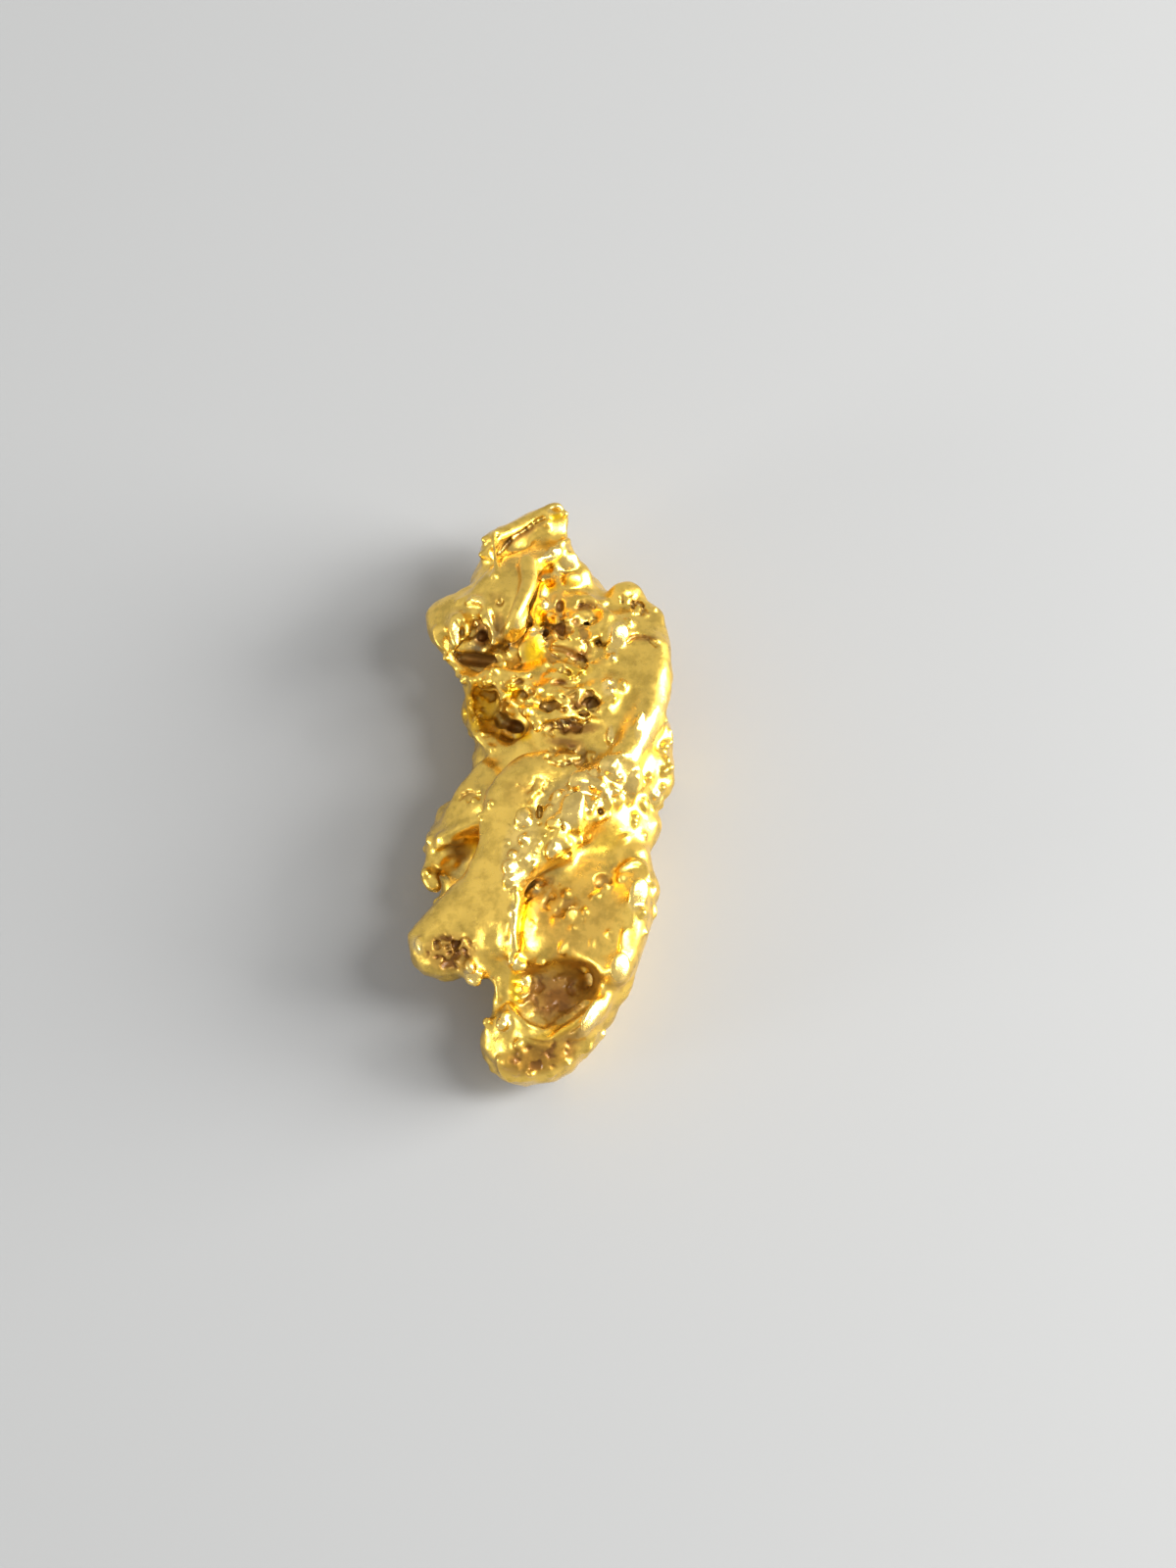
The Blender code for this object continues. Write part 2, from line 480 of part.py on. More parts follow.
def rest_on_flats(bm):
    """Cuts a flat across the lowest knobs, and sets the nugget with the flats on the ground, in metres."""
    cut_at = Vector((0, 0, min(v.co.z for v in bm.verts) + BASE_CUT))
    everything = bm.verts[:] + bm.edges[:] + bm.faces[:]
    sliced = bmesh.ops.bisect_plane(
        bm, geom=everything, plane_co=cut_at, plane_no=(0, 0, 1), clear_inner=True
    )
    edges = [e for e in sliced["geom_cut"] if isinstance(e, bmesh.types.BMEdge)]
    bmesh.ops.holes_fill(bm, edges=edges, sides=0)
    keep_outer_skin(bm)
    bmesh.ops.triangulate(bm, faces=bm.faces)
    box = [[f(v.co[k] for v in bm.verts) for f in (min, max)] for k in range(3)]
    middle = Vector((sum(box[0]) / 2, sum(box[1]) / 2, box[2][0]))
    bm.transform(Matrix.Scale(MM, 4) @ Matrix.Translation(-middle))


def gold():
    """Native gold: a soft yellow metal, duller than polished gold."""
    material = bpy.data.materials.new("gold")
    material.use_nodes = True
    surface = material.node_tree.nodes["Principled BSDF"]
    surface.inputs["Base Color"].default_value = GOLD_COLOUR
    surface.inputs["Metallic"].default_value = 1.0
    surface.inputs["Roughness"].default_value = GOLD_ROUGHNESS
    return material


def main():
    for old in list(bpy.data.objects):
        bpy.data.objects.remove(old)
    clay = Clay()
    for form in (upper_end, middle_sponge, right_fold, saddle_and_foot, lower_end, back_side):
        form(clay)
    nugget = clay.to_object("nugget")
    fuse(nugget, FUSE_VOXEL, 2)

    cut = Clay()
    hollows(cut)
    pits = cut.to_object("pits")
    fuse(pits, FUSE_VOXEL, 1)
    pits.hide_render = True
    carve = nugget.modifiers.new("carve", "BOOLEAN")
    carve.operation = "DIFFERENCE"
    carve.object = pits
    apply_modifiers(nugget)
    bpy.data.objects.remove(pits)
    fuse(nugget, FUSE_VOXEL, 1)
    roughen(nugget)
    fuse(nugget, FINAL_VOXEL, 1)

    thin = nugget.modifiers.new("thin", "DECIMATE")
    thin.ratio = WANTED_TRIANGLES / (2 * len(nugget.data.polygons))
    thin.use_collapse_triangulate = True
    apply_modifiers(nugget)

    bm = bmesh.new()
    bm.from_mesh(nugget.data)
    rest_on_flats(bm)
    bm.to_mesh(nugget.data)
    bm.free()
    nugget.data.shade_smooth()
    nugget.data.materials.append(gold())


main()
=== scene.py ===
"""A small native gold nugget that lies on its flattest side on a pale surface.

The nugget grew and was worn as one piece, so it is one skin of gold. The sections follow it from its body
over the forms of each part to the finished skin. It is worked at one unit to the millimetre, because faces
far under a millimetre are too small to be fused in metres, and it is brought to metres at the end.
"""

import math
import random

import bpy
import numpy as np
from mathutils import Matrix, Vector, noise
from mathutils.bvhtree import BVHTree


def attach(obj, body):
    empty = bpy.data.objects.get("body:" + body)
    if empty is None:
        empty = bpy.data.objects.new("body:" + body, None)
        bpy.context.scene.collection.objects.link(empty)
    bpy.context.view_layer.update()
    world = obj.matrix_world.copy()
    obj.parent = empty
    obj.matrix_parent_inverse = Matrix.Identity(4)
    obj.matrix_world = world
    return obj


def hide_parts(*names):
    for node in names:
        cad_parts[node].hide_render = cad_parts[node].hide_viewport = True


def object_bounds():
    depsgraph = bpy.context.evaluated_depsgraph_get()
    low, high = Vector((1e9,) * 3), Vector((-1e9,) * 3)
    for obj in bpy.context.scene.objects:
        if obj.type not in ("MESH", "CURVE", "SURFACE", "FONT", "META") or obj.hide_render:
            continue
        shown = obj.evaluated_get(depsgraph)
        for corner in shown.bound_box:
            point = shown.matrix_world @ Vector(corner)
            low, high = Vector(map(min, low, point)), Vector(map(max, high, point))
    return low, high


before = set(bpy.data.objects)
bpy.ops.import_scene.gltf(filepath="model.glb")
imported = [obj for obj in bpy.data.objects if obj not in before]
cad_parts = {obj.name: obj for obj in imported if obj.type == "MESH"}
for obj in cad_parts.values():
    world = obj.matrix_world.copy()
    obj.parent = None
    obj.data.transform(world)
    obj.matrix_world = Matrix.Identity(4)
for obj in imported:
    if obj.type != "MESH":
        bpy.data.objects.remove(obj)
cad_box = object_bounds()


# Camera. It looks down steeply on the show side of the nugget, from a distance that suits so small a thing.
# Places on the show side are millimetres to the right and up from the nugget's middle, as the camera sees it.
MM = 0.001
SHOW_ELEVATION = math.radians(70)
SHOW_MIDDLE = Vector((0.032, -0.194, 1.923))
VIEW_DISTANCE = 170.0
VIEW_HEIGHT = 32.0
VIEW_CENTRE = (0.92, 0.17)
SENSOR_HEIGHT = 24.0
NEAREST_SEEN = 0.005
FURTHEST_SEEN = 20.0

show_turn = Matrix.Rotation(math.pi / 2 - SHOW_ELEVATION, 4, "X")
show_right = (show_turn @ Vector((1, 0, 0))).normalized()
show_up = (show_turn @ Vector((0, 1, 0))).normalized()
show_front = (show_turn @ Vector((0, 0, 1))).normalized()
aim = SHOW_MIDDLE + show_right * VIEW_CENTRE[0] + show_up * VIEW_CENTRE[1]
eye = aim + show_front * VIEW_DISTANCE

bpy.ops.object.camera_add(location=eye * MM, rotation=show_turn.to_euler())
camera = bpy.context.object
camera.name = "show_camera"
camera.data.sensor_fit = "VERTICAL"
camera.data.sensor_height = SENSOR_HEIGHT
camera.data.sensor_width = SENSOR_HEIGHT
camera.data.lens = SENSOR_HEIGHT * VIEW_DISTANCE / VIEW_HEIGHT
camera.data.clip_start = NEAREST_SEEN
camera.data.clip_end = FURTHEST_SEEN
bpy.context.scene.camera = camera


# Floor and light. A pale matt surface in a dim grey surround. A wide key light low at the right puts the
# broad glints on the right-hand rims, and two small ones over it light the shoulders and the beads. One low
# at the left lights the rims there, and a wide weak one from the upper left softens the shadows.
FLOOR_SIZE = 3.0
FLOOR_COLOUR = (0.335, 0.335, 0.33, 1.0)
FLOOR_ROUGHNESS = 0.9
SURROUND_COLOUR = (0.97, 0.98, 1.0, 1.0)
SURROUND_STRENGTH = 0.6
LIGHT_DISTANCE = 150


def softbox(name, side, width, power):
    """A round soft light that many millimetres wide, on the side that lies so far right, up and in front."""
    right, up, front = side
    way = (show_right * right + show_up * up + show_front * front).normalized()
    turn = way.to_track_quat("Z", "Y").to_euler()
    bpy.ops.object.light_add(type="AREA", location=(SHOW_MIDDLE + way * LIGHT_DISTANCE) * MM, rotation=turn)
    light = bpy.context.object
    light.name = name
    light.data.shape = "DISK"
    light.data.size = width * MM
    light.data.energy = power


bpy.ops.mesh.primitive_plane_add(size=FLOOR_SIZE, location=(0, 0, 0))
floor = bpy.context.object
floor.name = "floor"
floor_paint = bpy.data.materials.new("matt_pale_surface")
floor_paint.use_nodes = True
floor_surface = floor_paint.node_tree.nodes["Principled BSDF"]
floor_surface.inputs["Base Color"].default_value = FLOOR_COLOUR
floor_surface.inputs["Roughness"].default_value = FLOOR_ROUGHNESS
floor.data.materials.append(floor_paint)

softbox("key_light", (1.0, 0.18, 0.24), width=105, power=0.56)
softbox("shoulder_light", (0.8, 0.2, 0.6), width=42, power=0.085)
softbox("bead_light", (0.6, 0.25, 0.85), width=50, power=0.1)
softbox("rim_light", (-1.0, -0.3, 0.3), width=46, power=0.09)
softbox("fill_light", (-0.8, 0.6, 0.9), width=160, power=0.015)

surround = bpy.data.worlds.new("grey_surround")
surround.use_nodes = True
surround.node_tree.nodes["Background"].inputs["Color"].default_value = SURROUND_COLOUR
surround.node_tree.nodes["Background"].inputs["Strength"].default_value = SURROUND_STRENGTH
bpy.context.scene.world = surround
bpy.context.scene.view_settings.view_transform = "Standard"


# Body. The nugget's mass, solid native gold in one contorted lump, as the frame has it. Its flat faces are
# melted into one closed skin that the forms of each part are heaped on and the hollows are cut from.
BODY_VOXEL = 0.06
BODY_SMOOTHINGS = 5
MELT_SOFTNESS = 0.5
SAME_POINT = 0.0001


def select_only(*objects):
    """Leaves just these objects selected, the first of them active."""
    bpy.ops.object.select_all(action="DESELECT")
    for each in objects:
        each.select_set(True)
    bpy.context.view_layer.objects.active = objects[0]


def melt(piece, voxel, smoothings):
    """Makes one closed skin of overlapping forms, and softens the joins between them."""
    select_only(piece)
    remesh = piece.modifiers.new("melt", "REMESH")
    remesh.mode = "VOXEL"
    remesh.voxel_size = voxel
    bpy.ops.object.modifier_apply(modifier=remesh.name)
    if smoothings:
        soften = piece.modifiers.new("soften", "SMOOTH")
        soften.factor = MELT_SOFTNESS
        soften.iterations = smoothings
        bpy.ops.object.modifier_apply(modifier=soften.name)


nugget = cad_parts["nugget"].copy()
nugget.data = nugget.data.copy()
nugget.parent = None
nugget.name = "nugget_skin"
bpy.context.scene.collection.objects.link(nugget)
nugget.data.materials.clear()
nugget.data.transform(Matrix.Scale(1 / MM, 4))
select_only(nugget)
bpy.ops.object.mode_set(mode="EDIT")
bpy.ops.mesh.select_all(action="SELECT")
bpy.ops.mesh.remove_doubles(threshold=SAME_POINT)
bpy.ops.object.mode_set(mode="OBJECT")
melt(nugget, BODY_VOXEL, BODY_SMOOTHINGS)
body_tree = BVHTree.FromObject(nugget, bpy.context.evaluated_depsgraph_get())


# Broad rims. The rolled edges that stand out most, and the fills that level hollows between the forms, are
# folds of the same gold. Each is a string of balls along its places, melted into the body with no seam.
RIM_VOXEL = 0.045
BALL_SUBDIVISIONS = 3
BALL_SPACING = 0.5
FEWEST_BALLS = 3
BROAD_RIMS = (
    # places along it, radius, and how far its middle stands off the skin, in radii
    ([(2.3, 3.0), (2.3, 2.5), (2.2, 2.0), (2.04, 1.45), (1.78, 0.8)], 0.36, -0.45),
    ([(1.75, -1.7), (1.86, -2.2), (1.84, -2.7), (1.7, -3.2), (1.5, -3.7)], 0.32, -0.6),
    ([(1.15, -4.3), (0.95, -4.6), (0.7, -4.85)], 0.24, -0.3),
    ([(-1.0, 5.18), (-0.4, 5.46), (0.15, 5.74)], 0.16, 0.1),
    ([(-0.66, 4.98), (-0.3, 5.18), (0.08, 5.4)], 0.22, -0.2),
    ([(1.12, 3.28), (1.2, 3.16)], 0.2, -0.1),
    ([(0.74, 3.52), (0.92, 3.5)], 0.14, -0.2),
    ([(-0.52, -3.42), (-0.36, -3.56)], 0.2, 0.2),
    ([(-1.68, 2.98), (-1.36, 2.97), (-1.08, 2.95)], 0.15, 0.2),
    ([(0.2, 1.36), (0.6, 1.36)], 0.22, -0.1),
    ([(0.8, 1.12), (1.15, 1.05)], 0.34, 0.2),
)

bpy.ops.mesh.primitive_ico_sphere_add(subdivisions=BALL_SUBDIVISIONS, radius=1)
ball = bpy.context.object
ball.name = "ball"


def on_skin(across, up):
    """The point of the body seen at that place of the show side, and the way the skin faces there."""
    seen = SHOW_MIDDLE + show_right * across + show_up * up
    place, facing, _, _ = body_tree.ray_cast(eye, (seen - eye).normalized())
    if place is None:
        place, facing, _, _ = body_tree.find_nearest(seen)
    return place, facing


def add_ball(heap, centre, half_sizes, turn=0.0, lean=0.0):
    """Puts a rounded lump of those half-sizes, right, up and front, on a heap of forms."""
    lump = ball.copy()
    lump.data = ball.data.copy()
    spin = Matrix.Rotation(math.radians(lean), 4, "Y") @ Matrix.Rotation(math.radians(turn), 4, "Z")
    lump.matrix_world = Matrix.Translation(centre) @ show_turn @ spin @ Matrix.Diagonal((*half_sizes, 1))
    bpy.context.scene.collection.objects.link(lump)
    heap.append(lump)


def along(points, share):
    """A point of the smooth curve through the points, with share from 0 at the first to 1 at the last."""
    last = len(points) - 1
    place = min(share * last, last - 1e-9)
    i = int(place)
    t = place - i
    a, b, c, d = (points[max(0, min(last, i + k))] for k in (-1, 0, 1, 2))
    square = 2 * a - 5 * b + 4 * c - d
    cube = 3 * b - a - 3 * c + d
    return 0.5 * (2 * b + (c - a) * t + square * t ** 2 + cube * t ** 3)


def strand(heap, places, radius, proud, deep=1.0, taper=1.0):
    """Balls close together on the skin along the places, `taper` times as wide at the last place."""
    seats = [on_skin(*p) for p in places]
    points = [place + facing * radius * proud for place, facing in seats]
    length = sum((b - a).length for a, b in zip(points, points[1:]))
    count = max(FEWEST_BALLS, math.ceil(length / (BALL_SPACING * radius * min(1.0, taper))))
    for k in range(count + 1):
        wide = radius * (1 + (taper - 1) * k / count)
        add_ball(heap, along(points, k / count), (wide, wide, wide * deep))


def gather(heap, name):
    """Joins a heap of forms into one piece."""
    select_only(*heap)
    bpy.ops.object.join()
    heap[0].name = name
    bpy.ops.object.transform_apply(location=True, rotation=True, scale=True)
    return heap[0]


broad = [nugget]
for places, radius, proud in BROAD_RIMS:
    strand(broad, places, radius, proud)
gather(broad, "nugget_skin")
melt(nugget, RIM_VOXEL, BODY_SMOOTHINGS)


# Wear. Rolling among stones has worn the faces of the gold that stand open. Some places are levelled, two
# faces are tilted up to the right, and then every worn face is smoothed. A place is an oval on the show side.
LEVELLED_PLACES = (
    # crest, blade and ear
    (-0.2, 5.02, 0.55, 0.2, 35), (-0.5, 4.6, 0.22, 0.36, 0), (0.3, 4.7, 0.35, 0.22, -20),
    (0.1, 4.15, 0.4, 0.55, 0), (-0.95, 3.6, 0.2, 0.5, 0), (-1.4, 3.02, 0.45, 0.16, 0),
    # bed
    (0.9, 3.55, 0.35, 0.3, 0), (1.1, 3.2, 0.25, 0.3, 0), (-0.2, 2.9, 0.4, 0.5, 0), (0.8, 1.9, 0.35, 0.3, 0),
    (0.7, 1.3, 1.0, 0.5, 5),
    # valley under the band, plate and bowl
    (1.6, -0.6, 0.6, 0.4, 25), (0.6, -2.5, 1.15, 1.0, 0), (0.25, -3.8, 0.95, 0.85, 0),
)
LEVELLINGS = 800
TILTED_PLACES = (
    # the plate and the valley: middle, half-width, half-height, and how steeply it rises to the right
    (0.95, -2.6, 1.35, 1.3, 0.3),
    (1.4, -0.9, 0.9, 0.6, 0.2),
)
TILT_PIVOT = 0.4
WORN_PLACES = (
    # crest, blade and ear
    (-0.4, 5.5, 0.8, 0.24, 28), (0.4, 5.45, 0.3, 0.3, 0), (-0.35, 4.95, 0.6, 0.3, 40),
    (-0.75, 4.25, 0.5, 0.55, 0), (0.75, 4.15, 0.35, 0.4, 0), (-1.95, 3.7, 0.4, 0.45, 0),
    # ledge in the bed, and the right fold
    (0.35, 2.65, 0.4, 0.2, 0), (2.05, 3.1, 0.6, 0.95, 0), (2.0, 2.2, 0.6, 0.95, 0), (1.7, 1.5, 0.4, 0.5, 0),
    (1.9, 1.4, 0.6, 0.8, -15),
    # saddle, column, foot and flap
    (-0.2, 0.5, 0.9, 0.42, -8), (-0.75, -0.4, 0.42, 0.8, 0), (-0.95, -1.5, 0.37, 0.9, 10),
    (-1.5, -2.3, 0.75, 0.62, 40), (-2.1, -2.6, 0.5, 0.5, 0), (-1.65, -0.1, 0.35, 0.75, -30),
    # valley under the band, plate and bowl
    (1.5, -0.9, 0.9, 0.55, 20), (0.95, -2.5, 1.1, 1.15, 0), (1.85, -2.6, 0.5, 1.4, 0),
    (0.2, -3.9, 0.8, 0.8, 0), (1.2, -4.2, 0.4, 0.6, -30), (0.0, -5.35, 0.8, 0.4, 20),
)
WORN_SMOOTHINGS = 45
WEAR_SOFTNESS = 0.9
FRONT_DEPTH = 0.2


def points_of(piece):
    """The points of a piece's mesh, one row each."""
    coords = np.empty(len(piece.data.vertices) * 3)
    piece.data.vertices.foreach_get("co", coords)
    return coords.reshape(-1, 3)


def show_places(piece):
    """Where each point of a piece lies to the right and up on the show side."""
    offsets = points_of(piece) - np.array(SHOW_MIDDLE)
    return offsets @ np.array(show_right), offsets @ np.array(show_up)


def share_in(places, right, up):
    """How far inside the ovals each point is, down to 0 outside them all.

    An oval is given by its middle, half-width, half-height and turn to the left, and may have another share
    than 1 in its middle.
    """
    share = np.zeros(len(right))
    for across, height, half_right, half_up, turn, *most in places:
        cosine = math.cos(math.radians(turn))
        sine = math.sin(math.radians(turn))
        x = ((right - across) * cosine + (up - height) * sine) / half_right
        y = ((up - height) * cosine - (right - across) * sine) / half_up
        share = np.maximum(share, (1 - (x * x + y * y) ** 2) * (most[0] if most else 1))
    return share


def turned_to_eye(piece):
    """1 where a piece's skin is turned to the eye, falling to 0 from 60 degrees off to edge on."""
    facing = np.array([vertex.normal.dot(show_front) for vertex in piece.data.vertices])
    return np.clip(facing * 2, 0, 1)


def smooth_within(places, times):
    """Smooths the nugget inside those ovals, where it is turned to the eye or lies well in front."""
    group = nugget.vertex_groups.new(name="smoothed")
    in_front = [(vertex.co - SHOW_MIDDLE).dot(show_front) > FRONT_DEPTH for vertex in nugget.data.vertices]
    shares = share_in(places, *show_places(nugget)) * np.maximum(turned_to_eye(nugget), in_front)
    for index, share in enumerate(shares):
        group.add([index], float(share), "REPLACE")
    wear = nugget.modifiers.new("wear", "SMOOTH")
    wear.factor = WEAR_SOFTNESS
    wear.iterations = times
    wear.vertex_group = group.name
    select_only(nugget)
    bpy.ops.object.modifier_apply(modifier=wear.name)
    nugget.vertex_groups.clear()


smooth_within(LEVELLED_PLACES, LEVELLINGS)

body_right, body_up = show_places(nugget)
to_eye = turned_to_eye(nugget)
rises = np.zeros(len(body_right))
for across, up, half_right, half_up, slope in TILTED_PLACES:
    inside = share_in([(across, up, half_right, half_up, 0)], body_right, body_up)
    rises += slope * (body_right - across + TILT_PIVOT) * inside * to_eye
for vertex, rise in zip(nugget.data.vertices, rises):
    vertex.co += show_front * rise

smooth_within(WORN_PLACES, WORN_SMOOTHINGS)


# Grain. Gold that isn't worn keeps a fine crumbly skin from its growth, in rougher and smoother patches, and
# all of it is a little uneven. The grain is moved into the skin itself, along the way each point faces.
PATCHES_PER_MM = 1.3
LEAST_GRAIN = 0.35
CRUMBS_PER_MM = 6.5
CRUMB_HEIGHT = 0.06
CRUMB_LEVEL = 0.25
WAVES_PER_MM = 4.0
WAVE_HEIGHT = 0.014
WAVE_FADING = 0.9
WAVE_NARROWING = 2.0
WAVE_LAYERS = 3
RIPPLE_HEIGHT = 0.01

grain_at = []
for vertex, worn in zip(nugget.data.vertices, share_in(WORN_PLACES, *show_places(nugget))):
    point = vertex.co
    patch = 0.5 + 0.5 * noise.noise(point * PATCHES_PER_MM)
    rough = (1 - worn) * (LEAST_GRAIN + (1 - LEAST_GRAIN) * patch)
    crumbs = CRUMB_LEVEL - noise.voronoi(point * CRUMBS_PER_MM)[0][0] ** 2
    waves = noise.fractal(point * WAVES_PER_MM, WAVE_FADING, WAVE_NARROWING, WAVE_LAYERS)
    ripple = noise.noise(point * WAVES_PER_MM)
    rise = rough * (CRUMB_HEIGHT * crumbs + WAVE_HEIGHT * waves) + RIPPLE_HEIGHT * ripple
    grain_at.append(point + vertex.normal * rise)
for vertex, place in zip(nugget.data.vertices, grain_at):
    vertex.co = place

body_tree = BVHTree.FromObject(nugget, bpy.context.evaluated_depsgraph_get())


# Upper end. A crest with a knobbed left end stands behind a smooth blade, whose right edge is rolled over. To
# its right are knuckles and flat-faced lumps, and to its left is a curled ear. The gold grew out into beads,
# lumps and curls, which are heaped on the skin, and pits and creases are cut from it.
FACET_PROUD = 0.3

forms = []
cutters = []


def bead(across, up, wide, long=0.0, turn=0.0, proud=0.3):
    """A bead on the skin, `turn` degrees to the left of upright where it is longer than wide."""
    place, facing = on_skin(across, up)
    add_ball(forms, place + facing * wide * proud, (wide, long or wide, wide), turn)


def facet(across, up, wide, long, turn=0.0, lean=20.0, thick=0.34):
    """A flat-faced lump on the skin that leans that many degrees to the right."""
    place, facing = on_skin(across, up)
    add_ball(forms, place + facing * wide * FACET_PROUD, (wide, long, wide * thick), turn, lean)


def pit(across, up, wide, deep, long=0.0, turn=0.0):
    """A pit in the skin, cut straight away from the eye."""
    place, _ = on_skin(across, up)
    add_ball(cutters, place, (wide, long or wide, deep), turn)


def curl(places, radius, proud=0.35, taper=1.0):
    """A rounded curl or rim that lies along the skin."""
    strand(forms, places, radius, proud, taper=taper)


def groove(places, radius, deep=2.0):
    """A crease in the skin, `deep` times as deep as it is wide."""
    strand(cutters, places, radius, 0.0, deep)


# crest
for across, up, wide in (
    (-1.28, 5.07, 0.09), (-1.18, 5.16, 0.08), (-1.00, 5.04, 0.08), (-1.09, 4.80, 0.08),
    (-1.24, 4.86, 0.08), (-0.89, 4.98, 0.07), (0.08, 5.48, 0.07), (0.44, 5.68, 0.08),
):
    bead(across, up, wide)
bead(0.24, 5.82, 0.15, 0.09, -12)
curl([(-1.32, 5.0), (-1.22, 5.2), (-1.02, 5.26), (-0.96, 5.1)], 0.055)
curl([(-1.1, 5.02), (-1.12, 4.9), (-1.06, 4.76)], 0.05)
pit(-0.93, 5.25, 0.06, 0.08, 0.09, -30)
pit(-0.97, 4.86, 0.06, 0.14)
pit(-1.15, 5.03, 0.05, 0.14)
groove([(-0.84, 4.92), (-0.64, 5.17), (-0.35, 5.36), (-0.12, 5.54), (0.05, 5.62)], 0.045, 3)
# the blade's hollow, its rolled edge and the trough beside it
pit(-0.88, 3.88, 0.1, 0.07)
pit(-1.06, 4.06, 0.07, 0.05)
curl([(-1.02, 3.84), (-0.93, 3.73), (-0.78, 3.76), (-0.74, 3.88)], 0.05, 0.1)
curl([(-0.3, 4.6), (-0.33, 4.2), (-0.42, 3.8), (-0.6, 3.35), (-0.8, 3.0)], 0.2, 0.4, 0.6)
facet(-0.42, 3.56, 0.15, 0.32, -22, 32)
facet(0.34, 5.0, 0.12, 0.2, -50)
curl([(0.58, 5.4), (0.5, 5.12), (0.22, 4.85), (-0.1, 4.75), (-0.3, 4.64)], 0.09, 0.3, 0.5)
# knuckles and facets
facet(0.2, 4.86, 0.14, 0.25, -50)
facet(0.55, 4.72, 0.2, 0.2, 20)
facet(0.33, 4.53, 0.15, 0.15)
facet(0.6, 4.34, 0.2, 0.16, 0, 20)
bead(0.07, 4.55, 0.08)
bead(0.01, 3.84, 0.09, 0.11)
bead(0.13, 3.60, 0.09)
bead(1.24, 3.86, 0.08)
pit(0.1, 4.26, 0.15, 0.1, 0.1, 20)
pit(0.34, 3.82, 0.09, 0.16, 0.18)
curl([(-0.05, 4.42), (0.2, 4.44), (0.42, 4.4)], 0.06)
curl([(-0.02, 4.2), (-0.1, 3.9), (-0.2, 3.62)], 0.12, 0.2)
# ear
curl([(-1.5, 3.86), (-1.28, 3.94), (-1.14, 3.74), (-1.04, 3.44), (-0.98, 3.2), (-1.04, 2.94)], 0.075, 0.5)
curl([(-1.79, 3.05), (-1.84, 3.3), (-1.8, 3.52), (-1.7, 3.58), (-1.62, 3.5)], 0.08, 0.6)
curl([(-2.2, 3.3), (-2.14, 3.1), (-2.04, 2.96)], 0.07)
for across, up, wide in (
    (-2.17, 3.33, 0.07), (-2.03, 3.14, 0.06), (-2.06, 3.29, 0.06), (-1.97, 2.75, 0.08), (-1.88, 2.88, 0.07),
    (-1.71, 3.90, 0.06), (-1.21, 3.63, 0.09), (-1.18, 3.48, 0.07), (-1.0, 3.36, 0.09), (-0.97, 3.22, 0.09),
    (-1.0, 3.08, 0.08), (-1.08, 2.99, 0.09), (-1.41, 3.42, 0.08), (-1.47, 3.22, 0.07), (-1.36, 3.3, 0.06),
):
    bead(across, up, wide, proud=0.5)
bead(-1.35, 3.92, 0.09, 0.15, 50)
pit(-1.65, 3.26, 0.07, 0.2, 0.16)
pit(-1.24, 3.18, 0.13, 0.2)
pit(-1.42, 3.62, 0.07, 0.15, 0.05)
groove([(-1.7, 2.73), (-1.4, 2.7), (-1.04, 2.66)], 0.13, 2)


# Bed and basket. The bed is the hackly gold between the blade and the right fold, with dark slots between its
# ledges. At its left a thin beaded rim goes round the basket, a deep hollow.

# slots
for places in (
    [(0.0, 3.38), (0.3, 3.36), (0.58, 3.3)],
    [(0.15, 2.95), (0.4, 2.92), (0.62, 2.84)],
    [(0.66, 2.78), (0.85, 2.7), (0.98, 2.66)],
    [(0.18, 2.24), (0.34, 2.26), (0.5, 2.16)],
    [(0.76, 1.82), (0.88, 1.98), (1.0, 2.04)],
    [(0.7, 3.76), (0.84, 3.8), (1.0, 3.72)],
):
    groove(places, 0.065, 1.4)
# ledges
for places in (
    [(0.66, 3.62), (0.8, 3.5), (1.0, 3.5)],
    [(0.5, 3.16), (0.8, 3.12), (1.1, 3.18)],
    [(0.1, 2.66), (0.5, 2.56), (0.8, 2.46), (0.94, 2.6)],
    [(0.1, 2.4), (0.4, 2.42), (0.62, 2.3)],
    [(0.2, 2.0), (0.5, 1.98), (0.74, 2.1)],
    [(0.1, 1.5), (0.5, 1.56), (0.9, 1.5), (1.1, 1.66)],
    [(0.24, 3.56), (0.42, 3.5), (0.6, 3.52)],
):
    curl(places, 0.06)
bead(-0.28, 3.26, 0.1)
facet(-0.1, 3.5, 0.13, 0.17, 0)
facet(-0.18, 2.86, 0.32, 0.4, -6, 6)
# rim and beads of the basket, and its hollow
curl([(-1.73, 2.4), (-1.69, 2.0), (-1.58, 1.6), (-1.4, 1.26), (-1.22, 1.02), (-1.02, 0.88)], 0.06, 0.5)
for across, up, wide in (
    (-1.58, 2.29, 0.1), (-1.45, 2.29, 0.06), (-1.14, 2.28, 0.1), (-1.26, 2.2, 0.06), (-0.96, 2.69, 0.08),
    (-0.83, 2.6, 0.08), (-1.0, 2.48, 0.09), (-1.45, 1.83, 0.09), (-1.36, 1.48, 0.08), (-0.82, 1.94, 0.07),
    (-0.31, 1.87, 0.07), (-0.12, 1.32, 0.1), (-1.2, 1.06, 0.06), (-1.28, 1.2, 0.06), (-0.66, 2.2, 0.08),
):
    bead(across, up, wide, proud=0.5)
bead(-0.65, 1.67, 0.08, 0.14, 50, 0.5)
bead(-0.1, 2.07, 0.08, 0.14, -10, 0.5)
bead(-0.33, 1.64, 0.08, 0.13, -15, 0.5)
pit(-1.15, 1.8, 0.3, 0.15, 0.36)
pit(-0.84, 1.46, 0.17, 0.3, 0.18, 30)
pit(-0.56, 1.34, 0.2, 0.35, 0.14, -10)


